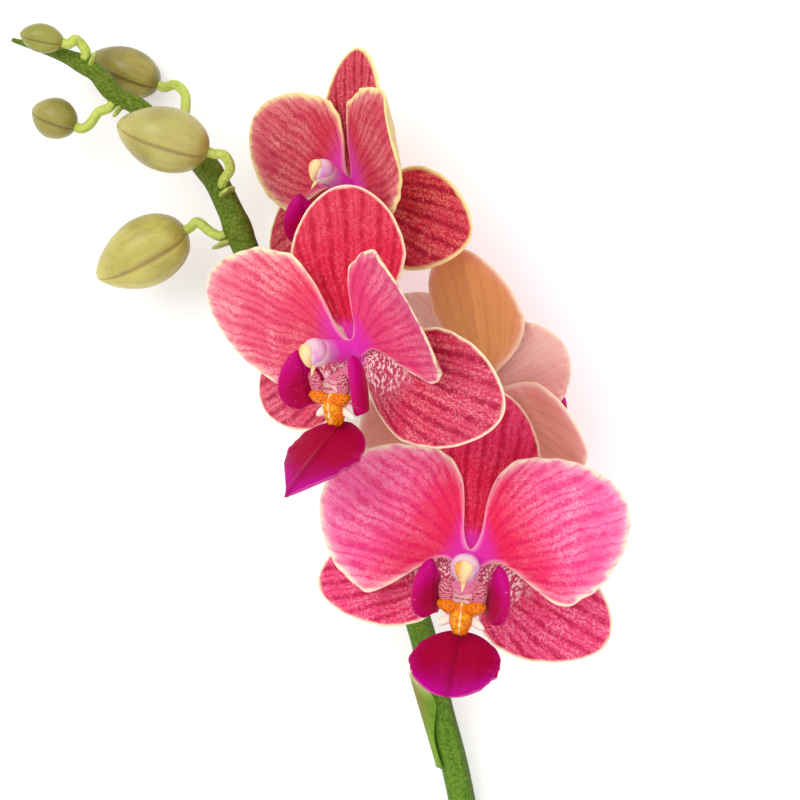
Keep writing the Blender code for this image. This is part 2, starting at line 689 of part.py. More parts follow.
def add_flower(flower, stem):
    """One open flower on its stalk."""
    centre = bpy.data.objects.new(f"{flower.name}_flower", None)
    bpy.context.scene.collection.objects.link(centre)
    place = turn(flower.yaw, "Y") @ turn(flower.pitch, "X") @ turn(flower.roll, "Z")
    centre.matrix_world = Matrix.Translation(Vector(flower.centre) * MM) @ place
    name = flower.name
    add_tepal(f"{name}_dorsal_sepal", DORSAL_SEPAL, flower.dorsal, flower, centre)
    add_tepal(f"{name}_lateral_sepal_right", LATERAL_SEPAL, flower.sepal_right, flower, centre)
    add_tepal(f"{name}_lateral_sepal_left", LATERAL_SEPAL, flower.sepal_left, flower, centre, left=True)
    add_tepal(f"{name}_petal_right", PETAL, flower.petal_right, flower, centre)
    add_tepal(f"{name}_petal_left", PETAL, flower.petal_left, flower, centre, left=True)
    add_lip(flower, centre)
    add_callus(flower, centre)
    add_column(flower, centre)
    add_anther_cap(flower, centre)
    back = np.array(place.to_3x3() @ Vector((0.0, 0.0, -1.0)))
    seat = np.array(flower.centre) + back * RECEPTACLE_DEPTH * flower.size
    foot, out, _ = stalk_foot(stem, np.array(flower.stalk[-1]))
    route = [foot, foot + out * 2.0, *flower.stalk[:-1][::-1], seat + back * 2.5, seat]
    add_stalk(f"{name}_stalk", route, RECEPTACLE_RADIUS * flower.size)
    return centre


def add_bud_stalk(bud, stem):
    """The stalk from the stem to a bud's base."""
    base, tip = np.array(bud.base), np.array(bud.tip)
    axis = (tip - base) / np.linalg.norm(tip - base)
    foot, out, _ = stalk_foot(stem, np.array(bud.stalk[-1]))
    seat = base - axis * CLEARANCE
    route = [foot, foot + out * 0.8, *bud.stalk[::-1], seat - axis * 1.2, seat]
    return add_stalk(f"{bud.name}_stalk", route, STALK_RADIUS)


def build():
    """Build the whole spray and move it to its origin."""
    clear_scene()
    stem = stem_curve()
    add_stem(stem)
    add_sheath(stem)
    for flower in FLOWERS:
        add_flower(flower, stem)
    for bud in BUDS:
        add_bud(bud)
        add_bud_stalk(bud, stem)
    bpy.context.view_layer.update()
    shift = Matrix.Translation(Vector(TABLE_ZERO) * MM)
    for obj in bpy.context.scene.objects:
        if obj.parent is None:
            obj.matrix_world = shift @ obj.matrix_world


build()
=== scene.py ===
"""Looks of a cut moth orchid spray: its petals, lips, columns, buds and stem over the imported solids.

Sizes in the tables are millimetres on the cutting table. The meshes are made in metres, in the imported
model's own frame. Tepals, stem, stalks and buds follow the formulas of their solids on finer grids. The
lips' lobes, the heads of the columns, the calluses and the sheath carry more shape than their solids.
"""

import logging
import math
from dataclasses import dataclass, field, replace
from enum import Enum
from functools import reduce

import bpy
import numpy as np
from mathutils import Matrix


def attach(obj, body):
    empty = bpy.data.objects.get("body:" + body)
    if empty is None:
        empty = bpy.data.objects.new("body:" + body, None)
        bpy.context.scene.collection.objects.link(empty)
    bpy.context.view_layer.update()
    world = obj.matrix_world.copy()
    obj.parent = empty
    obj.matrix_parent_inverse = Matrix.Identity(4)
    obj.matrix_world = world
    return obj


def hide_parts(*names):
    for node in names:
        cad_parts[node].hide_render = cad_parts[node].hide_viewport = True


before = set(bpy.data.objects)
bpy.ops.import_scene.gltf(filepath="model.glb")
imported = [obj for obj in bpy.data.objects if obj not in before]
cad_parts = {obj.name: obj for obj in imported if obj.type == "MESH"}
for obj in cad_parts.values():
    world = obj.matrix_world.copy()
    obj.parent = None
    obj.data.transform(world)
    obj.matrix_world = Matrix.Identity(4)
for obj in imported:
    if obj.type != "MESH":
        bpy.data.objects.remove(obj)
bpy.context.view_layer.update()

Triple = tuple[float, float, float]
Socket = bpy.types.NodeSocket
Material = bpy.types.Material
Tissues = dict[str, Material]

LOG = logging.getLogger("orchid")
MM = 0.001
TURN = 2 * math.pi
BODY = "root"

# The table's own zero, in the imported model's frame.
TABLE_ZERO = np.array((19.82, 16.94, 0.01))

TEPAL_THICKNESS = 0.8
BRACT_THICKNESS = 0.8
CLEARANCE = 0.3
TEPAL_RING_RADIUS = 2.5
SEPAL_BASE_HEIGHT = -0.6
PETAL_BASE_HEIGHT = 0.9

# How sheets are made: the share of evenly spaced rows and columns, the stretch at the base that is
# tucked under, the middle valley's width, the waves of the outline's ripples and of the margin's
# frills along one length, and the step that sets one sheet's pattern apart from the next one's.
EVEN_ROWS = 0.35
EVEN_COLUMNS = 0.4
TUCKED = 0.07
KEEL_WIDTH = 0.09
RIPPLES = (3.3, 7.7)
FRILLS = (4.3, 8.9)
PATTERN_STEP = 37.0

# A ball's rings start this many radians from its poles.
POLE_GAP = 0.03


class Side(Enum):
    """Which side of the flower a piece stands on, seen from its front."""

    RIGHT = 1
    LEFT = -1


class Ink(Enum):
    """How a sepal is marked."""

    STRIPED = "striped"
    BARRED = "barred"


def linear(code: str) -> tuple[float, float, float, float]:
    """Turn a hex colour into linear light.

    Args:
        code: Six hex digits of an sRGB colour.

    Returns:
        Red, green, blue and alpha, as Blender's sockets take them.
    """
    parts = [int(code[place:place + 2], 16) / 255 for place in (0, 2, 4)]
    light = [part / 12.92 if part <= 0.04045 else ((part + 0.055) / 1.055) ** 2.4 for part in parts]
    return (light[0], light[1], light[2], 1.0)


def rotation(degrees: float, axis: str) -> np.ndarray:
    """Give the 4 x 4 matrix of a turn about one axis.

    Args:
        degrees: Angle, counter-clockwise seen from the axis's end.
        axis: "X", "Y" or "Z".

    Returns:
        The matrix.
    """
    sine, cosine = math.sin(math.radians(degrees)), math.cos(math.radians(degrees))
    first, second = {"X": (1, 2), "Y": (2, 0), "Z": (0, 1)}[axis]
    matrix = np.eye(4)
    matrix[first, first] = cosine
    matrix[second, second] = cosine
    matrix[first, second] = -sine
    matrix[second, first] = sine
    return matrix


def translation(x: float, y: float, z: float) -> np.ndarray:
    """Give the 4 x 4 matrix of a move by x, y and z."""
    matrix = np.eye(4)
    matrix[:3, 3] = (x, y, z)
    return matrix


def moved(points: np.ndarray, matrix: np.ndarray) -> np.ndarray:
    """Carry points through a 4 x 4 matrix."""
    return points @ matrix[:3, :3].T + matrix[:3, 3]


def unit(vectors: np.ndarray) -> np.ndarray:
    """Scale vectors to a length of one."""
    return vectors / np.maximum(np.linalg.norm(vectors, axis=-1, keepdims=True), 1e-9)


def stand(origin: np.ndarray, along: np.ndarray, face: np.ndarray) -> np.ndarray:
    """Give a place whose Y runs along one direction and whose Z is nearest to another.

    Args:
        origin: Where the piece's own zero goes.
        along: Direction for the piece's Y.
        face: Direction that its Z turns towards.

    Returns:
        The 4 x 4 matrix.
    """
    along = unit(np.asarray(along, float))
    face = np.asarray(face, float)
    face = unit(face - (face @ along) * along)
    matrix = np.eye(4)
    matrix[:3, :3] = np.stack([np.cross(along, face), along, face], axis=1)
    matrix[:3, 3] = origin
    return matrix


def bell(reach: np.ndarray, width: float) -> np.ndarray:
    """Give a bell curve: e to the minus square of the reach, counted in widths."""
    return np.exp(-(reach / width) ** 2)


def skew(at: float) -> float:
    """Give the power of the way that brings the top of a half sine to `at`."""
    return math.log(0.5) / math.log(at)


def around(sides: int) -> np.ndarray:
    """Give even angles round a ring, as one row."""
    return np.arange(sides)[None, :] * TURN / sides


def ball(rows: int, sides: int) -> np.ndarray:
    """Give the directions from a ball's middle to its points, ring by ring from the top.

    Args:
        rows: Number of rings.
        sides: Points a ring.

    Returns:
        Unit vectors, rows by sides by 3.
    """
    polar = np.linspace(POLE_GAP, np.pi - POLE_GAP, rows)[:, None]
    angle = around(sides)
    flat = (np.sin(polar) * np.cos(angle), np.sin(polar) * np.sin(angle))
    return np.stack([*flat, np.cos(polar) + 0 * angle], axis=-1)


def egg(rays: np.ndarray, radii: Triple) -> np.ndarray:
    """Give the distance to an egg's skin along each ray: one over the length of ray by radii."""
    return 1 / np.linalg.norm(rays / radii, axis=-1)


@dataclass
class Skin:
    """A closed surface: points in millimetres, faces, and two vectors a point for the finishes to read."""

    points: np.ndarray
    faces: list[list[int]]
    sheet: np.ndarray
    flat: np.ndarray

    def outward(self) -> "Skin":
        """Turn every face over if the signed volume, a sixth of the sum of a . (b x c), is negative.

        Returns:
            The surface itself.
        """
        corners = [self.points[[face[place] for face in self.faces]] for place in (0, 1, 2)]
        volume = np.einsum("ij,ij->i", corners[0], np.cross(corners[1], corners[2])).sum()
        fourth = [face for face in self.faces if len(face) == 4]
        ends = [self.points[[face[place] for face in fourth]] for place in (0, 2, 3)]
        volume += np.einsum("ij,ij->i", ends[0], np.cross(ends[1], ends[2])).sum()
        if volume < 0:
            self.faces = [face[::-1] for face in self.faces]
        return self

    def placed(self, matrix: np.ndarray) -> "Skin":
        """Carry the surface to its place and make its faces point outward."""
        self.points = moved(self.points, matrix)
        return self.outward()

    def piece(self, name: str, material: Material, slot: str, *nodes: str) -> bpy.types.Object:
        """Make the surface an object of the scene, in place of solids of the frame.

        Args:
            name: The piece's name.
            material: Its finish.
            slot: The record's material slot; not used.
            nodes: Solids that it stands for.

        Returns:
            The object, at the origin, with its place in its mesh.
        """
        mesh = bpy.data.meshes.new(name)
        mesh.from_pydata(((self.points + TABLE_ZERO) * MM).tolist(), [], self.faces)
        for label, values in (("sheet", self.sheet), ("flat", self.flat)):
            layer = mesh.attributes.new(label, "FLOAT_VECTOR", "POINT")
            layer.data.foreach_set("vector", values.astype(np.float32).ravel())
        mesh.shade_smooth()
        mesh.materials.append(material)
        obj = bpy.data.objects.new(name, mesh)
        bpy.context.scene.collection.objects.link(obj)
        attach(obj, BODY)
        if nodes:
            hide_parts(*nodes)
        return obj


def round_skin(rings: np.ndarray, sheet: np.ndarray, flat: np.ndarray) -> Skin:
    """Close a stack of rings into one surface, each end drawn together at its middle point.

    Args:
        rings: Points, rings by sides by 3.
        sheet: First vector of the finishes, the same shape.
        flat: Second vector of the finishes, the same shape.

    Returns:
        The surface.
    """
    count, sides = rings.shape[:2]
    start = np.arange(count - 1)[:, None] * sides
    side = np.arange(sides)[None, :]
    after = (side + 1) % sides
    quads = np.stack([start + side, start + after, start + sides + after, start + sides + side], axis=-1)
    low, high = count * sides, count * sides + 1
    last = (count - 1) * sides
    faces = quads.reshape(-1, 4).tolist()
    faces += np.stack([np.full(sides, low), after[0], side[0]], axis=-1).tolist()
    faces += np.stack([np.full(sides, high), last + side[0], last + after[0]], axis=-1).tolist()

    def with_ends(values: np.ndarray) -> np.ndarray:
        """Add the mean of the first and of the last ring."""
        return np.vstack([values.reshape(-1, 3), values[0].mean(axis=0), values[-1].mean(axis=0)])

    return Skin(with_ends(rings), faces, with_ends(sheet), with_ends(flat))


@dataclass(frozen=True)
class Margin:
    """One side of a blade: its half width grows from a claw to `widest` at `at` of the length."""

    widest: float
    at: float
    claw: float
    tip: float

    def half_width(self, along: np.ndarray) -> np.ndarray:
        """Give the half width: the widest times a skewed half sine, raised to the claw or tip power."""
        hump = np.clip(np.sin(np.pi * along ** skew(self.at)), 0.0, 1.0)
        return self.widest * hump ** np.where(along < self.at, self.claw, self.tip)


@dataclass(frozen=True)
class Fold:
    """A line on a sheet past which it bends forward on an arc of `radius`, then runs straight on."""

    line: tuple[float, float]
    heading: float
    angle: float
    radius: float

    def bend(self, points: np.ndarray) -> np.ndarray:
        """Bend points: the reach past the line becomes arc, then tangent; height stays normal to it.

        Args:
            points: Points of the flat sheet.

        Returns:
            The same points, bent.
        """
        heading = math.radians(self.heading)
        along = np.array([math.cos(heading), math.sin(heading)])
        across = np.array([-along[1], along[0]])
        flat = points[..., :2] - self.line
        run, reach, lift = flat @ along, flat @ across, points[..., 2]
        turn = math.radians(self.angle)
        arc = np.clip(reach / self.radius, 0.0, turn)
        straight = np.clip(reach - self.radius * turn, 0.0, None)
        forward = self.radius * np.sin(arc) + straight * np.cos(arc) - lift * np.sin(arc)
        upward = self.radius * (1 - np.cos(arc)) + straight * np.sin(arc) + lift * np.cos(arc)
        bent = np.where(reach > 0, forward, reach)
        raised = np.where(reach > 0, upward, lift)
        flat = run[..., None] * along + bent[..., None] * across + self.line
        return np.concatenate([flat, raised[..., None]], axis=-1)


@dataclass(frozen=True)
class Blade:
    """A leaf-like sheet that lies along +Y and faces +Z, thin at its margin like a lens."""

    length: float
    left: Margin
    right: Margin
    base: float = 2.2
    end: float = 0.5
    arch: float = 0.0
    cup: float = 0.0
    keel: float = 0.0
    wave: float = 0.0
    waves: float = 1.5
    fold: Fold | None = None
    thickness: float = TEPAL_THICKNESS
    under: float = 0.0
    ruffle: float = 0.0
    wobble: float = 0.0
    plump: bool = False
    rows: int = 72
    columns: int = 48

    def skin(self, size: float, mirrored: bool, seed: int) -> Skin:
        """Work the sheet out as one closed surface.

        A point is across the blade by its half width, along it by its length, and up by the sum of the
        arch, a parabola; the cup, the square of the reach; the keel, a narrow valley; and sine waves
        that grow with the square of the reach. Front and back stand half the thickness off it along
        the normal, times the fourth root of one less the eighth power of the share across, or for a
        plump sheet the root of one less its square.

        Args:
            size: Scale of the whole flower.
            mirrored: True for a piece on the flower's left.
            seed: Picks the run of the small ripples.

        Returns:
            The surface, with fan, share along and distance to the rim, then x, y and the front's flag.
        """
        rng = np.random.default_rng(seed)
        phases = rng.uniform(0, TURN, 6)
        even = np.linspace(0, 1, self.rows + 1)[:, None]
        along = (1 - EVEN_ROWS) * (1 - np.cos(np.pi * even)) / 2 + EVEN_ROWS * even
        share = np.linspace(-1, 1, self.columns + 1)[None, :]
        across = (1 - EVEN_COLUMNS) * np.sin(np.pi / 2 * share) + EVEN_COLUMNS * share
        widths = [
            np.sqrt(side.half_width(along) ** 2 + (self.base * (1 - along) ** 2) ** 2 + self.end ** 2)
            for side in (self.left, self.right)
        ]
        wide = np.where(across < 0, widths[0], widths[1])
        sign = np.sign(across)
        ripple = np.sin(TURN * RIPPLES[0] * along + phases[0] + sign)
        ripple = ripple + 0.6 * np.sin(TURN * RIPPLES[1] * along + phases[1] - sign)
        wide = wide * (1 + self.wobble * ripple * np.sin(np.pi * along) * np.abs(across) ** 3)
        x = across * wide
        tuck = self.under * np.clip(1 - along / TUCKED, 0, 1) ** 1.5
        y = self.length * along - tuck + 0 * x
        broad = max(self.left.widest, self.right.widest)
        reach = x / broad
        z = -self.arch * self.length * along ** 2
        z = z + self.cup * broad * reach ** 2 * np.sqrt(np.clip(np.sin(np.pi * along ** 0.7), 0, 1))
        z = z - self.keel * bell(reach, KEEL_WIDTH) * 4 * along * (1 - along)
        z = z + self.wave * np.sin(TURN * self.waves * along + 1.3 * (across > 0)) * reach ** 2 * along
        frill = np.sin(TURN * FRILLS[0] * along + phases[2] + sign * phases[3])
        frill = frill + 0.7 * np.sin(TURN * FRILLS[1] * along + phases[4] - sign * phases[5])
        z = z + self.ruffle * frill * reach ** 4 * np.sin(np.pi * along) ** 0.5
        middle = np.stack([x, y, z], axis=-1)
        if self.fold:
            middle = self.fold.bend(middle)
        normal = unit(np.cross(np.gradient(middle, axis=1), np.gradient(middle, axis=0)))
        rounded = np.sqrt(1 - across ** 2) if self.plump else (1 - np.abs(across) ** 8) ** 0.25
        taper = rounded * (0.2 + 0.8 * (1 - along ** 12))
        offset = normal * (taper * self.thickness / 2 / size)[..., None]
        slope = np.gradient(wide, self.length * along[:, 0], axis=0)
        rim = (1 - np.abs(across)) * wide / np.sqrt(1 + slope ** 2)
        rim = np.minimum(rim, self.length * (1.0 - along) + self.end)
        fan = x / (broad * np.tanh((self.length * along + 1.5) / (0.45 * self.length)))
        sheet = np.stack([fan, along + 0 * fan, rim], axis=-1)
        shift = PATTERN_STEP * seed
        flat = np.stack([x + shift, y + 0.6 * shift, np.ones_like(x)], axis=-1)
        inside = slice(self.columns - 1, 0, -1)
        front = np.concatenate([middle + offset, (middle - offset)[:, inside]], axis=1)
        notes = np.concatenate([sheet, sheet[:, inside]], axis=1)
        faces_down = flat * (1, 1, 0)
        marks = np.concatenate([flat, faces_down[:, inside]], axis=1)
        points = front.reshape(-1, 3) * ((-1, 1, 1) if mirrored else (1, 1, 1)) * size
        return Skin(points, self.sheet_faces(), notes.reshape(-1, 3), marks.reshape(-1, 3))

    def sheet_faces(self) -> list[list[int]]:
        """List the faces of the flattened tube that a blade is, with a strip over each of its ends.

        Returns:
            Rows of point numbers.
        """
        count = 2 * self.columns
        start = np.arange(self.rows)[:, None] * count
        side = np.arange(count)[None, :]
        after = (side + 1) % count
        quads = np.stack([start + side, start + after, start + count + after, start + count + side], axis=-1)
        faces = quads.reshape(-1, 4).tolist()
        column = np.arange(1, self.columns - 1)
        strip = np.stack([column, column + 1, count - column - 1, count - column], axis=-1)
        ends = np.array([[0, 1, count - 1], [self.columns - 1, self.columns, self.columns + 1]])
        last = self.rows * count
        faces += strip[:, ::-1].tolist() + ends[:, ::-1].tolist()
        faces += (strip + last).tolist() + (ends + last).tolist()
        return faces


class Graph:
    """Writes the node tree of one material, with a short call for each node that the finishes use.

    Where a method takes an object, that is a socket to link, a number, or six hex digits of a colour.
    """

    def __init__(self, name: str) -> None:
        """Start a material with its Principled shader.

        Args:
            name: The material's name.
        """
        self.material = bpy.data.materials.new(name)
        self.material.use_nodes = True
        self.tree = self.material.node_tree
        self.shader = self.tree.nodes["Principled BSDF"]

    def fill(self, socket: Socket, value: object) -> None:
        """Link a socket to another one, or set its value.

        Args:
            socket: The input.
            value: What goes into it.
        """
        if isinstance(value, Socket):
            self.tree.links.new(value, socket)
        elif isinstance(value, str):
            socket.default_value = linear(value)
        else:
            socket.default_value = value

    def math(self, operation: str, first: object, second: object = 0.0) -> Socket:
        """Add a Math node.

        Args:
            operation: Its operation.
            first: First value.
            second: Second value, where the operation has one.

        Returns:
            The result.
        """
        node = self.tree.nodes.new("ShaderNodeMath")
        node.operation = operation
        self.fill(node.inputs[0], first)
        self.fill(node.inputs[1], second)
        return node.outputs[0]

    def chain(self, operation: str, values: tuple) -> Socket:
        """Join values from the first to the last by one operation."""
        return reduce(lambda first, second: self.math(operation, first, second), values)

    def times(self, *values: object) -> Socket:
        """Multiply values together."""
        return self.chain("MULTIPLY", values)

    def plus(self, *values: object) -> Socket:
        """Add values up."""
        return self.chain("ADD", values)

    def most(self, *values: object) -> Socket:
        """Give the largest of some values."""
        return self.chain("MAXIMUM", values)

    def sway(self, noise: object, amount: float) -> Socket:
        """Centre a noise on zero and scale it."""
        return self.times(self.plus(noise, -0.5), amount)

    def span(self, value: object, low: float, high: float, start: float = 0.0, end: float = 1.0) -> Socket:
        """Ease from `start` at `low` to `end` at `high`.

        Args:
            value: What is mapped.
            low: Where the rise starts.
            high: Where it ends; may be under `low`.
            start: Result at `low`.
            end: Result at `high`.

        Returns:
            The mapped value.
        """
        if low > high:
            low, high, start, end = high, low, end, start
        node = self.tree.nodes.new("ShaderNodeMapRange")
        node.interpolation_type = "SMOOTHSTEP"
        for place, part in enumerate((value, low, high, start, end)):
            self.fill(node.inputs[place], part)
        return node.outputs[0]

    def mix(self, share: object, first: object, second: object) -> Socket:
        """Mix two colours.

        Args:
            share: Share of the second colour.
            first: First colour.
            second: Second colour.

        Returns:
            The mixed colour.
        """
        node = self.tree.nodes.new("ShaderNodeMix")
        node.data_type = "RGBA"
        self.fill(node.inputs[0], share)
        self.fill(node.inputs[6], first)
        self.fill(node.inputs[7], second)
        return node.outputs[2]

    def over(self, colour: object, paint: object, *shares: object) -> Socket:
        """Lay a paint over a colour, by the product of some shares."""
        return self.mix(self.times(*shares), colour, paint)

    def two_sided(self, front: Socket, colour: object, behind: object) -> Socket:
        """Show one colour where the front's flag is up and another behind."""
        return self.mix(self.span(front, 0.35, 0.65), behind, colour)

    def ramp(self, value: object, *stops: tuple[float, str]) -> Socket:
        """Run through colours.

        Args:
            value: Place on the run, 0 to 1.
            stops: Place and hex colour of each stop.

        Returns:
            The colour.
        """
        node = self.tree.nodes.new("ShaderNodeValToRGB")
        node.color_ramp.interpolation = "EASE"
        self.fill(node.inputs[0], value)
        marks = node.color_ramp.elements
        while len(marks) < len(stops):
            marks.new(1.0)
        for mark, (place, code) in zip(marks, stops):
            mark.position = place
            mark.color = linear(code)
        return node.outputs[0]

    def noise(self, vector: Socket, scale: float, detail: float = 2.0, rough: float = 0.5) -> Socket:
        """Add a noise texture.

        Args:
            vector: Where it is read.
            scale: Features per unit of the vector.
            detail: Octaves.
            rough: Weight of the finer octaves.

        Returns:
            The noise, about one half on average.
        """
        node = self.tree.nodes.new("ShaderNodeTexNoise")
        self.fill(node.inputs["Vector"], vector)
        for label, value in (("Scale", scale), ("Detail", detail), ("Roughness", rough)):
            node.inputs[label].default_value = value
        return node.outputs[0]

    def cells(self, vector: Socket, scale: float) -> Socket:
        """Add round cells.

        Args:
            vector: Where they are read.
            scale: Cells per unit of the vector.

        Returns:
            The distance to the nearest cell's middle.
        """
        node = self.tree.nodes.new("ShaderNodeTexVoronoi")
        self.fill(node.inputs["Vector"], vector)
        node.inputs["Scale"].default_value = scale
        return node.outputs["Distance"]

    def vector(self, x: object, y: object, z: object) -> Socket:
        """Join three numbers.

        Args:
            x: First number.
            y: Second number.
            z: Third number.

        Returns:
            The vector.
        """
        node = self.tree.nodes.new("ShaderNodeCombineXYZ")
        for place, part in enumerate((x, y, z)):
            self.fill(node.inputs[place], part)
        return node.outputs[0]

    def note(self, name: str) -> list[Socket]:
        """Read one of the piece's two vectors.

        Args:
            name: "sheet" or "flat".

        Returns:
            Its three numbers.
        """
        source = self.tree.nodes.new("ShaderNodeAttribute")
        source.attribute_name = name
        node = self.tree.nodes.new("ShaderNodeSeparateXYZ")
        self.tree.links.new(source.outputs["Vector"], node.inputs[0])
        return list(node.outputs)

    def place(self) -> Socket:
        """Read where a point lies in the object.

        Returns:
            The object coordinates, in millimetres.
        """
        source = self.tree.nodes.new("ShaderNodeTexCoord")
        node = self.tree.nodes.new("ShaderNodeVectorMath")
        node.operation = "SCALE"
        self.tree.links.new(source.outputs["Object"], node.inputs[0])
        node.inputs["Scale"].default_value = 1 / MM
        return node.outputs[0]

    def lines(self, fan: object, count: float, width: float) -> Socket:
        """Draw lines that fan out: where the cosine of the fan times `count` turns is near one."""
        return self.span(self.math("COSINE", self.times(fan, TURN * count)), 1 - width, 1.0)

    def emit(self, colour: str, strength: float) -> None:
        """Let the surface glow evenly."""
        self.shader.inputs["Emission Color"].default_value = linear(colour)
        self.shader.inputs["Emission Strength"].default_value = strength

    def done(self, colour: object, roughness: object, height: Socket | None, depth: float,
             glow: float = 0.12, coat: float = 0.0, shine: float = 0.16) -> Material:
        """Wire the shader.

        Args:
            colour: Base colour.
            roughness: Roughness.
            height: Relief, or None.
            depth: Depth of the relief, in millimetres.
            glow: Weight of the light that goes into the tissue and out again.
            coat: Weight of the waxy layer.
            shine: Strength of the plain reflection.

        Returns:
            The finished material.
        """
        inputs = self.shader.inputs
        self.fill(inputs["Base Color"], colour)
        self.fill(inputs["Roughness"], roughness)
        inputs["Specular IOR Level"].default_value = shine
        inputs["Subsurface Weight"].default_value = glow
        inputs["Subsurface Radius"].default_value = (1.0, 0.45, 0.4)
        inputs["Subsurface Scale"].default_value = 0.9 * MM
        inputs["Coat Weight"].default_value = coat
        inputs["Coat Roughness"].default_value = 0.25
        if height is not None:
            bump = self.tree.nodes.new("ShaderNodeBump")
            bump.inputs["Strength"].default_value = 0.7
            bump.inputs["Distance"].default_value = depth * MM
            self.tree.links.new(height, bump.inputs["Height"])
            self.tree.links.new(bump.outputs[0], inputs["Normal"])
        return self.material


@dataclass(frozen=True)
class PetalFinish:
    """Satin petal tissue: a ground that runs from base to rim, forking veins and a pale lacy edge."""

    name: str
    base: str = "DC0038"
    inner: str = "E0104C"
    middle: str = "EE4088"
    outer: str = "F460A4"
    vein: str = "D01062"
    pale: str = "FCBCD0"
    rim: str = "F6E2C6"
    rim_width: float = 1.25
    glow: str = "DC30B4"
    glow_reach: float = 0.17
    back: str = "E6B6B2"
    back_vein: float = 0.22
    veins: float = 3.4

    def material(self) -> Material:
        """Make the material.

        Three sets of soft lines, each twice as many as the last, come in one after another along the
        petal, with paler tissue and a fine pale grain between them. Where a line reaches the rim it cuts
        into the pale edge, which narrows and fades towards the petal's base.

        Returns:
            The material.
        """
        graph = Graph(self.name)
        fan, along, rim = graph.note("sheet")
        x, y, front = graph.note("flat")
        spot = graph.vector(x, y, 3.0)
        slow = graph.noise(spot, 0.1, 3.0)
        quick = graph.noise(spot, 0.5, 3.0)
        waver = graph.plus(fan, graph.sway(slow, 0.28))
        waver = graph.plus(waver, graph.sway(quick, 0.1))
        main = graph.lines(waver, self.veins, 0.75)
        second = graph.times(graph.lines(waver, 2 * self.veins, 0.6), graph.span(along, 0.15, 0.5))
        third = graph.times(graph.lines(waver, 4 * self.veins, 0.8), graph.span(along, 0.6, 0.95))
        veins = graph.most(main, graph.times(second, 0.75), graph.times(third, 0.45))
        broken = graph.span(graph.noise(spot, 0.55, 4.0, 0.65), 0.36, 0.64, 0.3, 1.0)
        vein = graph.times(veins, broken, graph.span(along, 0.02, 0.2, 0.3, 1.0))
        ground = graph.ramp(
            along, (0.0, self.base), (0.26, self.inner), (0.6, self.middle), (0.95, self.outer))
        grain = graph.span(graph.noise(spot, 2.2, 4.0, 0.66), 0.38, 0.68)
        patch = graph.span(graph.noise(spot, 0.14, 3.0), 0.36, 0.64, 0.3, 1.0)
        outward = graph.span(along, 0.12, 0.62, 0.2, 1.0)
        between = graph.span(veins, 0.5, 0.0)
        lace = graph.plus(graph.times(between, 0.16), graph.times(grain, 0.5))
        colour = graph.over(ground, self.pale, lace, patch, outward)
        inked = graph.times(vein, graph.plus(0.62, graph.times(grain, -0.25)))
        colour = graph.mix(inked, colour, self.vein)
        violet = graph.span(graph.plus(along, graph.sway(slow, 0.1)), self.glow_reach, 0.02)
        colour = graph.over(colour, self.glow, violet, 0.85)
        narrow = graph.span(along, 0.1, 0.5, 0.25, 1.0)
        fringe = graph.plus(graph.sway(quick, 1.3), graph.times(vein, 0.8))
        ragged = graph.math("DIVIDE", graph.plus(rim, graph.times(fringe, narrow)), narrow)
        blush = graph.span(ragged, 3.0 * self.rim_width, 0.6 * self.rim_width)
        colour = graph.over(colour, self.pale, blush, 0.42)
        edge = graph.span(ragged, 1.35 * self.rim_width, 0.2 * self.rim_width)
        colour = graph.over(colour, self.rim, edge, graph.span(along, 0.08, 0.3, 0.12, 0.92))
        behind = graph.over(self.back, self.vein, vein, self.back_vein)
        behind = graph.over(behind, self.rim, grain, 0.2)
        behind = graph.over(behind, self.rim, edge, 0.7)
        colour = graph.two_sided(front, colour, behind)
        skin = graph.noise(spot, 5.0, 2.0)
        height = graph.plus(graph.times(vein, -0.7), graph.times(skin, 0.35), graph.times(slow, 0.8))
        return graph.done(colour, graph.span(skin, 0.2, 0.8, 0.5, 0.66), height, 0.22, shine=0.12)


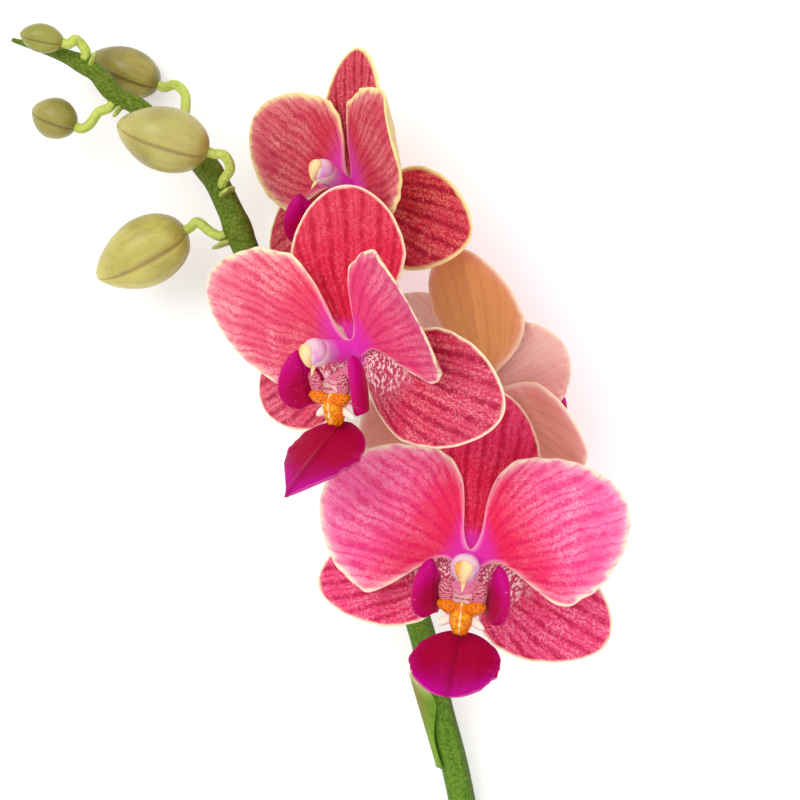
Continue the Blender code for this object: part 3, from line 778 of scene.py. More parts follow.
@dataclass(frozen=True)
class SepalFinish:
    """Satin sepal tissue: long dark stripes, fine pale specks, and bars on white near the base."""

    name: str
    ink: Ink = Ink.BARRED
    base: str = "C81C48"
    middle: str = "DC2E66"
    tip: str = "E43C74"
    stripe: str = "B4103E"
    speck: str = "F8AEC2"
    specks: float = 0.6
    white: str = "FAD6DC"
    bar: str = "BC1248"
    rim: str = "F4DCBC"
    rim_width: float = 0.45
    back: str = "D89084"
    back_stripe: float = 0.25
    stripes: float = 3.2
    white_reach: float = 0.44
    glow: str = "DC30B4"
    glow_reach: float = 0.05

    def material(self) -> Material:
        """Make the material.

        Stripes run with the fan lines. Specks are a fine grain drawn out along the sepal, thinner on
        the stripes. Bars are noise that is drawn out across the sepal, and reach further near its middle.

        Returns:
            The material.
        """
        graph = Graph(self.name)
        fan, along, rim = graph.note("sheet")
        x, y, front = graph.note("flat")
        spot = graph.vector(x, y, 7.0)
        slow = graph.noise(spot, 0.11, 3.0)
        quick = graph.noise(spot, 0.7, 3.0)
        waver = graph.plus(fan, graph.sway(slow, 0.2))
        waver = graph.plus(waver, graph.sway(quick, 0.06))
        broken = graph.span(graph.noise(spot, 0.5, 3.0, 0.6), 0.32, 0.6, 0.35, 1.0)
        wide = graph.lines(waver, self.stripes, 0.95)
        second = graph.times(graph.lines(waver, 2 * self.stripes, 0.8), graph.span(along, 0.1, 0.35), 0.45)
        fine = graph.times(graph.lines(waver, 4 * self.stripes, 0.9), graph.span(along, 0.5, 0.8), 0.3)
        stripe = graph.times(graph.most(wide, second, fine), broken)
        ground = graph.ramp(along, (0.0, self.base), (0.45, self.middle), (0.9, self.tip))
        dashes = graph.vector(x, graph.times(y, 0.7), 1.0)
        grain = graph.noise(dashes, 2.6, 3.0, 0.62)
        speck = graph.span(graph.plus(grain, graph.times(stripe, -0.14)), 0.4, 0.68)
        fade = graph.span(graph.noise(spot, 0.16, 3.0), 0.32, 0.62, 0.4, 1.0)
        colour = graph.over(ground, self.stripe, stripe, 0.85)
        colour = graph.over(colour, self.speck, speck, self.specks, fade)
        if self.ink is Ink.BARRED:
            reach = graph.plus(along, graph.times(graph.math("ABSOLUTE", fan), 0.16))
            reach = graph.plus(reach, graph.sway(quick, 0.25))
            pale = graph.span(reach, self.white_reach, 0.6 * self.white_reach)
            worms = graph.vector(graph.times(fan, 8.0), graph.times(y, 2.1), graph.times(slow, 3.0))
            bars = graph.span(graph.noise(worms, 0.9, 2.0, 0.45), 0.4, 0.52)
            bars = graph.most(bars, graph.span(reach, 0.6 * self.white_reach, 1.05 * self.white_reach))
            white = graph.over(self.white, self.bar, bars, 0.92)
            colour = graph.mix(pale, colour, white)
        violet = graph.span(along, self.glow_reach, 0.3 * self.glow_reach)
        colour = graph.over(colour, self.glow, violet, 0.85)
        ragged = graph.plus(rim, graph.sway(quick, 0.5))
        edge = graph.span(ragged, 1.9 * self.rim_width, 0.3 * self.rim_width)
        tip = graph.span(along, 0.965, 0.995)
        colour = graph.mix(graph.most(edge, graph.times(tip, 0.9)), colour, self.rim)
        behind = graph.over(self.back, self.stripe, stripe, self.back_stripe)
        blush = graph.span(graph.plus(rim, graph.times(slow, 3.0)), 5.0, 1.0)
        behind = graph.over(behind, self.speck, blush, 0.5)
        behind = graph.over(behind, self.rim, edge, 0.7)
        colour = graph.two_sided(front, colour, behind)
        skin = graph.noise(spot, 5.0, 2.0)
        height = graph.plus(graph.times(stripe, -0.6), graph.times(skin, 0.35), graph.times(slow, 0.6))
        return graph.done(colour, graph.span(skin, 0.2, 0.8, 0.48, 0.64), height, 0.22, shine=0.12)


@dataclass(frozen=True)
class LobeFinish:
    """Waxy lip tissue: crimson to violet magenta, a dark median stripe, and a pale painted highlight as a
    thin line along the edge and as dots.
    """

    name: str
    deep: str = "A20034"
    bright: str = "A60058"
    edge: str = "B40080"
    # Pale colour of the painted highlights: a thin line along the rim and small dots.
    line: str = "E08CB8"
    median: str = "780020"
    rim_highlight_width: float = 0.15
    rim_highlight_share: float = 0.5
    specks: float = 0.0

    def material(self) -> Material:
        """Make the material: brightness grows towards the rim and the tip, with a soft middle stripe.

        Returns:
            The material.
        """
        graph = Graph(self.name)
        fan, along, rim = graph.note("sheet")
        x, y, _ = graph.note("flat")
        spot = graph.vector(x, y, 5.0)
        slow = graph.noise(spot, 0.2, 3.0)
        outward = graph.plus(graph.span(rim, 3.5, 0.2, 0.0, 0.5), graph.span(along, 0.3, 1.0, 0.0, 1.0))
        outward = graph.plus(outward, graph.sway(slow, 0.6))
        colour = graph.mix(graph.span(outward, 0.1, 0.75), self.deep, self.bright)
        colour = graph.mix(graph.span(outward, 0.6, 1.35), colour, self.edge)
        spine = graph.span(graph.math("ABSOLUTE", fan), 0.16, 0.0)
        colour = graph.over(colour, self.median, spine, 0.35)
        rib = graph.lines(graph.plus(fan, graph.times(slow, 0.1)), 5.0, 0.9)
        colour = graph.over(colour, self.median, rib, 0.1)
        # Painted highlight: pale dots, like small glints on the wax.
        dots = graph.span(graph.cells(spot, 1.0), 0.13, 0.07)
        colour = graph.over(colour, self.line, dots, self.specks)
        # Painted highlight: a thin pale line along the rim.
        thin = graph.span(rim, 1.4 * self.rim_highlight_width, 0.4 * self.rim_highlight_width)
        colour = graph.over(colour, self.line, thin, self.rim_highlight_share)
        skin = graph.noise(spot, 4.0, 2.0)
        height = graph.plus(graph.times(rib, -0.35), graph.times(skin, 0.3), graph.times(slow, 0.8))
        return graph.done(colour, graph.span(skin, 0.2, 0.8, 0.34, 0.46), height, 0.16, 0.04, shine=0.07)


@dataclass(frozen=True)
class ThroatFinish:
    """The lip's claw: white with crimson bars, rosy deeper in, cream at its end, with a faint painted glow
    against the column's shade.
    """

    name: str
    white: str = "FFF0E8"
    bar: str = "C80C3C"
    rose: str = "F05CA8"
    cream: str = "FFF2DC"
    back: str = "E49ABC"
    # Colour and strength of a faint painted glow that lightens the claw where the column shades it.
    through: str = "FFC8D0"
    painted_glow_share: float = 0.16

    def material(self) -> Material:
        """Make the material: bars run across, bent by noise.

        Returns:
            The material.
        """
        graph = Graph(self.name)
        _, along, _ = graph.note("sheet")
        x, y, front = graph.note("flat")
        spot = graph.vector(x, y, 9.0)
        bend = graph.sway(graph.noise(spot, 0.4, 3.0), 3.5)
        bars = graph.span(graph.math("SINE", graph.times(graph.plus(y, bend), 4.6)), 0.1, 0.6)
        bars = graph.times(bars, graph.span(graph.noise(spot, 0.9, 2.0), 0.38, 0.48))
        colour = graph.over(self.white, self.bar, bars, 0.9)
        colour = graph.mix(graph.span(along, 0.5, 0.25, 0.0, 0.85), colour, self.rose)
        colour = graph.mix(graph.span(along, 0.85, 0.98), colour, self.cream)
        colour = graph.two_sided(front, colour, self.back)
        # Painted light: the claw glows faintly, so the shade under the column and hood comes out lighter.
        graph.emit(self.through, self.painted_glow_share)
        return graph.done(colour, 0.4, graph.noise(spot, 4.0, 2.0), 0.15, 0.12, 0.1)


@dataclass(frozen=True)
class CallusFinish:
    """The callus: yellow to orange warts with red-brown dots, or wavy bars, and a white middle line."""

    name: str
    yellow: str = "F4A812"
    orange: str = "E87600"
    dot: str = "9C1C1C"
    white: str = "F8E8CC"
    dots: float = 0.85
    bars: float = 0.0

    def material(self) -> Material:
        """Make the material: dots are cells kept off the middle line, bars a sine bent by noise.

        Returns:
            The material.
        """
        graph = Graph(self.name)
        x, y, z = graph.note("flat")
        spot = graph.vector(x, y, z)
        cloud = graph.noise(spot, 0.5, 3.0)
        colour = graph.mix(graph.span(cloud, 0.4, 0.62), self.yellow, self.orange)
        side = graph.math("ABSOLUTE", x)
        colour = graph.mix(graph.span(side, 1.3, 2.6, 0.0, 0.85), colour, self.orange)
        line = graph.span(graph.plus(side, graph.times(cloud, 0.5)), 0.48, 0.3)
        colour = graph.over(colour, self.white, line, 0.75)
        dots = graph.times(graph.span(graph.cells(spot, 2.1), 0.42, 0.26), graph.span(side, 0.3, 0.6))
        colour = graph.over(colour, self.dot, dots, self.dots)
        arcs = graph.math("SINE", graph.times(graph.plus(y, graph.times(cloud, 4.0)), 8.5))
        colour = graph.over(colour, self.dot, graph.span(arcs, 0.1, 0.6), self.bars)
        return graph.done(colour, 0.4, graph.noise(spot, 2.2, 3.0), 0.25, 0.1, 0.04)


@dataclass(frozen=True)
class ColumnFinish:
    """The column: violet magenta at its foot, lilac, then a pale rosy head."""

    name: str
    foot: str = "E23CC4"
    ring: str = "D67CC8"
    head: str = "E4C4CC"

    def material(self) -> Material:
        """Make the material: colour runs with the height on the column; on the hood it also runs towards
        lilac at the sides and underside, which is painted shade.

        Returns:
            The material.
        """
        graph = Graph(self.name)
        spot = graph.vector(*graph.note("flat"))
        _, along, _ = graph.note("sheet")
        cloud = graph.noise(spot, 0.4, 3.0)
        level = graph.plus(along, graph.sway(cloud, 0.16))
        colour = graph.ramp(level, (0.48, self.foot), (0.7, self.ring), (0.86, self.head), (1.0, self.head))
        return graph.done(colour, 0.36, graph.noise(spot, 2.5, 2.0), 0.1, 0.15, 0.08)


@dataclass(frozen=True)
class CapFinish:
    """The anther cap: cream, warmer on one side of its middle groove."""

    name: str
    cream: str = "F0D29C"
    warm: str = "DE9030"

    def material(self) -> Material:
        """Make the material.

        Returns:
            The material.
        """
        graph = Graph(self.name)
        x, y, z = graph.note("flat")
        spot = graph.vector(x, y, z)
        cloud = graph.noise(spot, 0.6, 3.0)
        warm = graph.span(graph.plus(x, graph.times(cloud, 1.2)), 0.7, -0.4)
        colour = graph.over(self.cream, self.warm, warm, 0.85)
        return graph.done(colour, 0.4, graph.noise(spot, 2.5, 2.0), 0.1, 0.15, 0.05)


@dataclass(frozen=True)
class BudFinish:
    """Waxy bud skin: olive to yellow green, brownish along the seams, faint long veins; lighter on top as
    painted light, browner at the sides partly as painted shade.
    """

    name: str
    light: str = "CCC474"
    green: str = "AEA652"
    seam: str = "8A6C38"
    blush: str = "A8814C"

    def material(self) -> Material:
        """Make the material.

        The seam's note darkens it and noise drawn out lengthwise veins it. The skin is lighter where it faces
        up, which is painted light, and brown gathers where it turns down to the sides, partly the bud's own
        and partly painted shade.

        Returns:
            The material.
        """
        graph = Graph(self.name)
        seam, along, lift = graph.note("sheet")
        x, y, z = graph.note("flat")
        spot = graph.vector(x, y, z)
        # Painted light: the skin is lighter where it faces up.
        cloud = graph.plus(graph.noise(spot, 0.09, 2.0), graph.times(lift, 0.16))
        colour = graph.mix(graph.span(cloud, 0.3, 0.75), self.green, self.light)
        colour = graph.mix(graph.span(along, 0.16, 0.0, 0.0, 0.6), colour, self.green)
        long = graph.vector(x, graph.times(y, 0.08), z)
        streak = graph.span(graph.noise(long, 0.8, 4.0, 0.6), 0.4, 0.75)
        colour = graph.over(colour, self.blush, streak, 0.34)
        # Brown at the sides, where the skin turns down: partly the bud's own brown, partly painted shade.
        side = graph.plus(lift, graph.sway(cloud, 0.6))
        colour = graph.mix(graph.span(side, 0.5, -0.1, 0.0, 0.45), colour, self.blush)
        colour = graph.mix(graph.span(seam, 0.3, 1.0, 0.0, 0.75), colour, self.seam)
        skin = graph.noise(spot, 3.0, 3.0)
        height = graph.plus(graph.times(streak, 0.4), graph.times(skin, 0.5))
        return graph.done(colour, graph.span(skin, 0.2, 0.8, 0.24, 0.34), height, 0.15, shine=0.5)


@dataclass(frozen=True)
class StemFinish:
    """Smooth plant skin: streaked and mottled green, an upper tint, and on one side a dusky tint that is
    partly the skin's own and partly painted shade.
    """

    name: str
    green: str = "3C6A10"
    light: str = "4E7C1C"
    upper: str = "50600E"
    upper_share: float = 0.0
    upper_from: float = 0.4
    tint_and_shade: str = "3E3824"
    tint_and_shade_share: float = 0.55
    node: str = "7C7A34"
    fleck: str = "90A23C"

    def material(self) -> Material:
        """Make the material: the tints follow the notes of height along, side and node.

        Returns:
            The material.
        """
        graph = Graph(self.name)
        side, along, node = graph.note("sheet")
        spot = graph.place()
        x, y, z = graph.note("flat")
        long = graph.vector(graph.times(x, 0.9), graph.times(y, 0.06), graph.times(z, 0.9))
        streak = graph.noise(long, 1.0, 3.0)
        colour = graph.mix(graph.span(streak, 0.38, 0.62), self.green, self.light)
        high = graph.span(along, self.upper_from, self.upper_from + 0.3, 0.0, self.upper_share)
        colour = graph.mix(high, colour, self.upper)
        mottle = graph.span(graph.noise(spot, 1.5, 4.0, 0.65), 0.4, 0.65, 0.0, 0.45)
        colour = graph.mix(mottle, colour, self.fleck)
        flecks = graph.span(graph.cells(spot, 0.9), 0.12, 0.05)
        colour = graph.over(colour, self.fleck, flecks, 0.25)
        # Darker on the +x side: partly the skin's own purple-brown, partly painted shade on the side away
        # from the key light.
        edge = graph.span(graph.plus(side, graph.sway(streak, 0.5)), 0.45, 0.95)
        colour = graph.over(colour, self.tint_and_shade, edge, self.tint_and_shade_share)
        colour = graph.over(colour, self.node, node, 0.3)
        height = graph.plus(graph.times(streak, 0.7), graph.times(graph.noise(spot, 1.4, 3.0), 0.4))
        return graph.done(colour, graph.span(streak, 0.3, 0.7, 0.46, 0.6), height, 0.15, shine=0.12)


@dataclass(frozen=True)
class Pose:
    """How a tepal stands in its flower, in degrees, and how it differs from its pattern."""

    azimuth: float
    pitch: float
    twist: float = 0.0
    long: float = 1.0
    wide: float = 1.0
    cup: float | None = None
    fold: Fold | None = None

    def fitted(self, pattern: Blade) -> Blade:
        """Stretch a pattern to this pose's size.

        Args:
            pattern: The tepal's pattern.

        Returns:
            The tepal, with this pose's own cup and fold.
        """
        def margin(side: Margin) -> Margin:
            """Widen one side."""
            return replace(side, widest=side.widest * self.long * self.wide)

        return replace(
            pattern, length=pattern.length * self.long, left=margin(pattern.left),
            right=margin(pattern.right), cup=pattern.cup if self.cup is None else self.cup, fold=self.fold,
        )

    def matrix(self, height: float, size: float, side: Side) -> np.ndarray:
        """Give the tepal's place in its flower: twisted, pitched, moved out to the ring and turned.

        Args:
            height: Height of its base on the flower's axis.
            size: The flower's size.
            side: The flower's side that it stands on.

        Returns:
            The 4 x 4 matrix.
        """
        azimuth = self.azimuth if side is Side.RIGHT else 180 - self.azimuth
        out = translation(0.0, TEPAL_RING_RADIUS * size, height * size)
        spin = rotation(azimuth - 90, "Z") @ out
        return spin @ rotation(self.pitch, "X") @ rotation(side.value * self.twist, "Y")


DORSAL_SEPAL = Blade(
    length=36.5, left=Margin(12.8, 0.52, 0.95, 0.5), right=Margin(12.8, 0.52, 0.95, 0.5),
    arch=0.06, cup=0.05, keel=0.6, under=1.8, ruffle=0.12, wobble=0.008,
)
LATERAL_SEPAL = Blade(
    length=35.8, left=Margin(10.8, 0.56, 0.8, 0.54), right=Margin(12.8, 0.42, 0.8, 0.54),
    arch=0.05, cup=0.05, keel=0.6, under=1.8, ruffle=0.12, wobble=0.008,
)
PETAL = Blade(
    length=36.0, left=Margin(17.6, 0.41, 1.25, 0.5), right=Margin(17.2, 0.44, 2.6, 0.5),
    arch=0.05, cup=-0.05, keel=0.3, wave=0.5, under=1.6, ruffle=0.3, wobble=0.012,
    rows=84, columns=64,
)
ROUND_MIDLOBE = Blade(
    length=21.9, left=Margin(9.8, 0.4, 0.66, 0.46), right=Margin(9.8, 0.42, 0.66, 0.5),
    base=2.4, end=1.2, cup=-0.1, keel=0.5, thickness=1.2, ruffle=0.3, wobble=0.014,
)
POINTED_MIDLOBE = Blade(
    length=24.6, left=Margin(9.6, 0.38, 0.8, 0.95), right=Margin(9.8, 0.33, 0.8, 1.15),
    base=2.0, end=0.45, cup=-0.1, keel=-0.5, thickness=1.2, ruffle=0.3, wobble=0.012,
)
LIP_SIDE_LOBE = Blade(
    length=12.2, left=Margin(4.8, 0.36, 0.5, 1.0), right=Margin(5.8, 0.4, 0.5, 0.62),
    base=3.0, end=0.7, arch=-0.16, cup=0.12, thickness=3.4, plump=True, rows=48, columns=40,
)
LIP_CLAW = Blade(
    length=12.6, left=Margin(4.6, 0.6, 0.5, 0.9), right=Margin(4.6, 0.6, 0.5, 0.9),
    base=1.0, end=1.6, cup=0.6, thickness=1.0, rows=40, columns=32,
)
FLORAL_BRACT = Blade(
    length=4.8, left=Margin(2.2, 0.35, 0.5, 0.8), right=Margin(2.2, 0.35, 0.5, 0.8),
    base=1.9, end=0.5, cup=0.15, thickness=BRACT_THICKNESS, rows=24, columns=20,
)
SHEATH_BRACT = Blade(
    length=23.6, left=Margin(4.6, 0.74, 0.7, 0.45), right=Margin(4.6, 0.74, 0.7, 0.45),
    base=2.0, end=0.8, cup=0.8, thickness=BRACT_THICKNESS, rows=56, columns=32,
)
BRACT_STEM_RADIUS = 3.3


def smooth_route(points: list | tuple, step: float) -> np.ndarray:
    """Lay points about `step` apart on a centripetal curve through the given ones.

    Each stretch is blended from three pairs of straight lines, then two, then one, with a time to
    each point that grows by the square root of the gap.

    Args:
        points: Points to pass, with any further columns carried along.
        step: Spacing in millimetres.

    Returns:
        The curve's points.
    """
    points = np.asarray(points, float)
    ends = np.vstack([2 * points[0] - points[1], points, 2 * points[-1] - points[-2]])
    out = []
    for index in range(1, len(ends) - 2):
        p0, p1, p2, p3 = ends[index - 1:index + 3]
        gaps = [max(np.linalg.norm((b - a)[:3]), 1e-6) ** 0.5 for a, b in ((p0, p1), (p1, p2), (p2, p3))]
        t1, t2, t3 = np.cumsum(gaps)
        count = max(1, int(round(np.linalg.norm((p2 - p1)[:3]) / step)))
        t = (t1 + (t2 - t1) * np.arange(count) / count)[:, None]
        a1 = (t1 - t) / t1 * p0 + t / t1 * p1
        a2 = (t2 - t) / (t2 - t1) * p1 + (t - t1) / (t2 - t1) * p2
        a3 = (t3 - t) / (t3 - t2) * p2 + (t - t2) / (t3 - t2) * p3
        b1 = (t2 - t) / t2 * a1 + t / t2 * a2
        b2 = (t3 - t) / (t3 - t1) * a2 + (t - t1) / (t3 - t1) * a3
        out.append((t2 - t) / (t2 - t1) * b1 + (t - t1) / (t2 - t1) * b2)
    return np.vstack(out + [points[-1:]])


def tube(route: np.ndarray, radii: np.ndarray, sides: int, node: np.ndarray, ribs: float) -> Skin:
    """Carry a circle along a route, without twist.

    A ring's point is the route's plus the radius times the cosine of its angle sideways and the sine
    upwards; low ribs add the cosine of six times the angle.

    Args:
        route: Middle of each ring.
        radii: Radius of each ring.
        sides: Points a ring.
        node: How near each ring is to a node, 0 to 1.
        ribs: Height of the ribs, as a share of the radius.

    Returns:
        The surface, with side, share along and node, then place across, run and lift.
    """
    tangents = unit(np.gradient(route, axis=0))
    first = unit(np.cross(tangents[0], (0, 0, 1.0)))
    frames = []
    for tangent in tangents:
        first = unit(first - (first @ tangent) * tangent)
        frames.append((first, np.cross(first, tangent)))
    sideways, upwards = np.array(frames).transpose(1, 0, 2)[:, :, None, :]
    angle = around(sides)[..., None]
    run = np.concatenate([[0.0], np.cumsum(np.linalg.norm(np.diff(route, axis=0), axis=1))])
    reach = radii[:, None, None] * (1 + ribs * np.cos(6 * angle + run[:, None, None] * 0.04))
    arms = np.cos(angle) * sideways + np.sin(angle) * upwards
    rings = route[:, None, :] + reach * arms
    share = np.linspace(0, 1, len(route))[:, None]
    blank = np.zeros((len(route), sides))
    sheet = np.stack([arms[..., 0], share + blank, node[:, None] + blank], axis=-1)
    wide = (reach * np.cos(angle))[..., 0] + blank
    lift = (reach * np.sin(angle))[..., 0] + blank
    flat = np.stack([wide, run[:, None] + blank, lift], axis=-1)
    return round_skin(rings, sheet, flat)


@dataclass
class Stem:
    """The stem, its nodes, the small bracts below the stalks and the sheath."""

    route: tuple[tuple[float, float, float, float], ...]
    step: float = 4.6
    swelling: float = 0.35
    spread: float = 2.6
    sides: int = 48
    nodes: list[Triple] = field(default_factory=list)
    feet: list[Triple] = field(default_factory=list)
    sheath_base: Triple = (12.0, -84.5, 7.3)
    sheath_tip: Triple = (2.2, -62.6, 11.5)
    stalk_radius: float = 1.15
    scar_gap: float = 1.6
    scar_width: float = 0.45

    def rings(self, step: float) -> np.ndarray:
        """Work out the centreline and radius, swollen at each node by a bell curve of the distance.

        Args:
            step: Spacing of the points.

        Returns:
            Rows of x, y, z and radius.
        """
        coarse = smooth_route(self.route, self.step)
        curve = smooth_route(self.route, step)
        for node in self.nodes:
            middle = coarse[np.argmin(np.linalg.norm(coarse[:, :3] - node, axis=1)), :3]
            near = np.linalg.norm(curve[:, :3] - middle, axis=1)
            curve[:, 3] += self.swelling * bell(near, self.spread)
        return curve

    def nearest(self, point: np.ndarray) -> tuple[np.ndarray, float, np.ndarray]:
        """Find where the stem is nearest to a point.

        Args:
            point: The point.

        Returns:
            The stem's middle, radius and upward direction there.
        """
        curve = self.rings(self.step)
        index = int(np.argmin(np.linalg.norm(curve[:, :3] - point, axis=1)))
        low, high = max(index - 1, 0), min(index + 1, len(curve) - 1)
        return curve[index, :3], float(curve[index, 3]), unit(curve[high, :3] - curve[low, :3])

    def foot(self, toward: np.ndarray) -> tuple[np.ndarray, np.ndarray, np.ndarray]:
        """Find a stalk's foot on the stem's skin.

        Args:
            toward: Point that the stalk heads for.

        Returns:
            The foot, the way the stalk leaves, and the stem's direction.
        """
        middle, radius, tangent = self.nearest(toward)
        out = np.asarray(toward, float) - middle
        out = unit(out - (out @ tangent) * tangent)
        return middle + out * (radius + CLEARANCE), out, tangent

    def build(self, finish: StemFinish, bract_finish: StemFinish, sheath_finish: StemFinish) -> None:
        """Build the stem, its bracts and its sheath.

        Args:
            finish: The stem's finish.
            bract_finish: The small bracts' finish.
            sheath_finish: The sheath's finish.
        """
        curve = self.rings(0.55)
        node = np.zeros(len(curve))
        for toward in self.nodes:
            near = np.linalg.norm(curve[:, :3] - self.nearest(np.array(toward))[0], axis=1)
            node = np.maximum(node, bell(near - self.scar_gap, self.scar_width))
        radii = curve[:, 3] * (1 + 0.02 * node)
        skin = tube(curve[:, :3], radii, self.sides, node, 0.012)
        skin.outward().piece("stem_skin", finish.material(), "stem_green", "stem")
        material = bract_finish.material()
        for index, toward in enumerate(self.feet, start=1):
            foot, out, tangent = self.foot(np.array(toward))
            scale = self.nearest(np.array(toward))[1] / BRACT_STEM_RADIUS
            foot = foot - out * (CLEARANCE + 0.8) - tangent * (self.stalk_radius + 1.2)
            place = stand(foot, out + 0.1 * tangent, tangent - 0.5 * out)
            bract = FLORAL_BRACT.skin(scale, False, 60 + index).placed(place)
            bract.piece(f"bract_{index}", material, "stem_green", "stem")
        LOG.info("stem: %d rings, %d bracts", len(curve), len(self.feet))
        self.sheath(sheath_finish)

    def sheath(self, finish: StemFinish) -> None:
        """Build the long bract that clasps the lower stem and stands away from it at its tip.

        Args:
            finish: Its finish.
        """
        base, tip = np.array(self.sheath_base), np.array(self.sheath_tip)
        middle, radius, tangent = self.nearest(base)
        side = tip - self.nearest(tip)[0]
        side = unit(side - (side @ tangent) * tangent)
        foot = middle + side * (radius + BRACT_THICKNESS / 2 + CLEARANCE)
        skin = SHEATH_BRACT.skin(1.0, False, 81).placed(stand(foot, tip - foot, -side))
        skin.piece("sheath_skin", finish.material(), "stalk_green", "sheath_bract")
        LOG.info("sheath: one clasping bract")


@dataclass
class Stalk:
    """A flower's or bud's stalk, widening into a knob at its far end."""

    name: str
    route: list[np.ndarray]
    end_radius: float
    radius: float = 1.15
    grows_over: float = 2.2

    def build(self, material: Material) -> None:
        """Build the stalk: its radius goes to the knob's by a bell curve of the distance left.

        Args:
            material: Its finish.
        """
        curve = smooth_route(self.route, 0.5)
        left = np.linalg.norm(curve - curve[-1], axis=1)
        radii = self.radius + (self.end_radius - self.radius) * bell(left, self.grows_over)
        skin = tube(curve, radii, 28, np.zeros(len(curve)), 0.008)
        skin.outward().piece(f"{self.name}_skin", material, "stalk_green", self.name)


@dataclass
class Bud:
    """A closed bud: an egg turned about its axis, grooved where its three sepals meet."""

    name: str
    base: Triple
    tip: Triple
    radius: float
    widest_at: float
    node: Triple
    stalk: tuple[Triple, ...]
    finish: BudFinish
    seam_depth: float = 0.06
    pattern_step: float = 50.0
    rings: int = 90
    sides: int = 96

    def build(self, stalk_material: Material, stem: Stem) -> None:
        """Build the bud and its stalk.

        The radius is the widest times a skewed half sine to the power 0.5, or 0.62 past its widest
        place, less a broad groove, the cube of a raised cosine of three times the angle, a thin one,
        its thirtieth power, and low ridges round the base. The stalk's end is set into the bud.

        Args:
            stalk_material: The stalk's finish.
            stem: The stem it grows on.
        """
        base, tip = np.array(self.base), np.array(self.tip)
        axis = tip - base
        length = np.linalg.norm(axis)
        share = (1 - np.cos(np.pi * np.linspace(0.0, 1.0, self.rings + 1))) / 2
        share = np.clip(share, 0.004, 0.998)[:, None]
        angle = around(self.sides)
        swirl = angle + 0.12 * np.sin(np.pi * share)
        raised = 0.5 + 0.5 * np.cos(3 * swirl)
        groove = 0.8 * self.seam_depth * raised ** 3 + 0.4 * self.seam_depth * raised ** 30
        groove = groove + 0.012 * np.cos(15 * swirl) * bell(share, 0.3)
        power = np.where(share < self.widest_at, 0.5, 0.62)
        radius = self.radius * np.sin(np.pi * share ** skew(self.widest_at)) ** power * (1 - groove)
        across = radius * np.cos(angle) + 0.012 * self.radius * np.sin(TURN * share)
        rings = np.stack([across, share * length + 0 * radius, radius * np.sin(angle)], axis=-1)
        notes = np.stack([raised ** 40, share + 0 * radius, np.sin(angle) + 0 * radius], axis=-1)
        skin = round_skin(rings, notes, rings + self.pattern_step * int(self.name[-1]))
        skin.placed(stand(base, axis, np.array((0, 0, 1.0)))).piece(
            f"{self.name}_skin", self.finish.material(), "bud_green", self.name)
        heading = axis / length
        foot, out, _ = stem.foot(np.array(self.stalk[-1]))
        seat = base + heading * 0.7
        route = [foot - out * 0.7, foot + out * 0.8, *self.stalk[::-1], seat - heading * 2.0, seat]
        Stalk(f"{self.name}_stalk", route, 1.15).build(stalk_material)
        LOG.info("%s: %.1f mm long", self.name, length)


@dataclass
class Lip:
    """The lip: claw, middle lobe and side lobes."""

    midlobe_base: Triple = (0.0, -16.0, 2.0)
    midlobe_drop: float = 37.0
    claw_base: Triple = (0.0, -3.6, 0.3)
    claw_rise: float = 27.0
    side_base: Triple = (7.4, -12.2, 6.4)
    side_turn: float = -60.0
    side_lean: float = 8.0
    side_tilt: float = 16.0
    midlobe: Blade = ROUND_MIDLOBE

    def build(self, name: str, place: np.ndarray, size: float, finishes: Tissues, seed: int) -> None:
        """Build the lip's four sheets.

        Args:
            name: The flower's name.
            place: The flower's place.
            size: The flower's size.
            finishes: Materials by tissue.
            seed: The flower's own number.
        """
        node = f"{name}_lip"
        base = translation(*(np.array(self.midlobe_base) * size))
        heading = base @ rotation(180, "Z") @ rotation(90 - self.midlobe_drop, "X")
        self.midlobe.skin(size, False, seed).placed(place @ heading).piece(
            f"{name}_midlobe", finishes["midlobe"], "lip_magenta", node)
        base = translation(*(np.array(self.claw_base) * size))
        heading = base @ rotation(180, "Z") @ rotation(self.claw_rise, "X")
        LIP_CLAW.skin(size, False, seed + 1).placed(place @ heading).piece(
            f"{name}_claw", finishes["throat"], "lip_magenta", node)
        for side in Side:
            sign = side.value
            base = translation(*(np.array((sign * self.side_base[0], *self.side_base[1:])) * size))
            heading = base @ rotation(self.side_tilt, "X") @ rotation(-sign * self.side_lean, "Z")
            heading = heading @ rotation(sign * self.side_turn, "Y")
            LIP_SIDE_LOBE.skin(size, side is Side.LEFT, seed + 3 + sign).placed(place @ heading).piece(
                f"{name}_side_lobe_{side.name.lower()}", finishes["side_lobe"], "lip_magenta", node)


@dataclass(frozen=True)
class Lump:
    """An egg-shaped part of the callus, with warts: x, y, z, width and height of each."""

    name: str
    centre: Triple
    radii: Triple
    spin: float = 0.0
    warts: tuple[tuple[float, float, float, float, float], ...] = ()

    def skin(self, size: float) -> Skin:
        """Work the lump out.

        A point lies on the ray from the middle at the egg's distance, with a bell-shaped wart or pit
        added round each of the given places.

        Args:
            size: The flower's size.

        Returns:
            The surface, in the callus's own place.
        """
        rays = ball(49, 56)
        reach = egg(rays, self.radii)
        points = rays * reach[..., None]
        for x, y, z, width, height in self.warts:
            reach = reach + height * bell(np.linalg.norm(points - (x, y, z), axis=-1), width)
        place = translation(*self.centre) @ rotation(self.spin, "Z")
        rings = moved(rays * reach[..., None], place)
        return round_skin(rings * size, rings, rings)


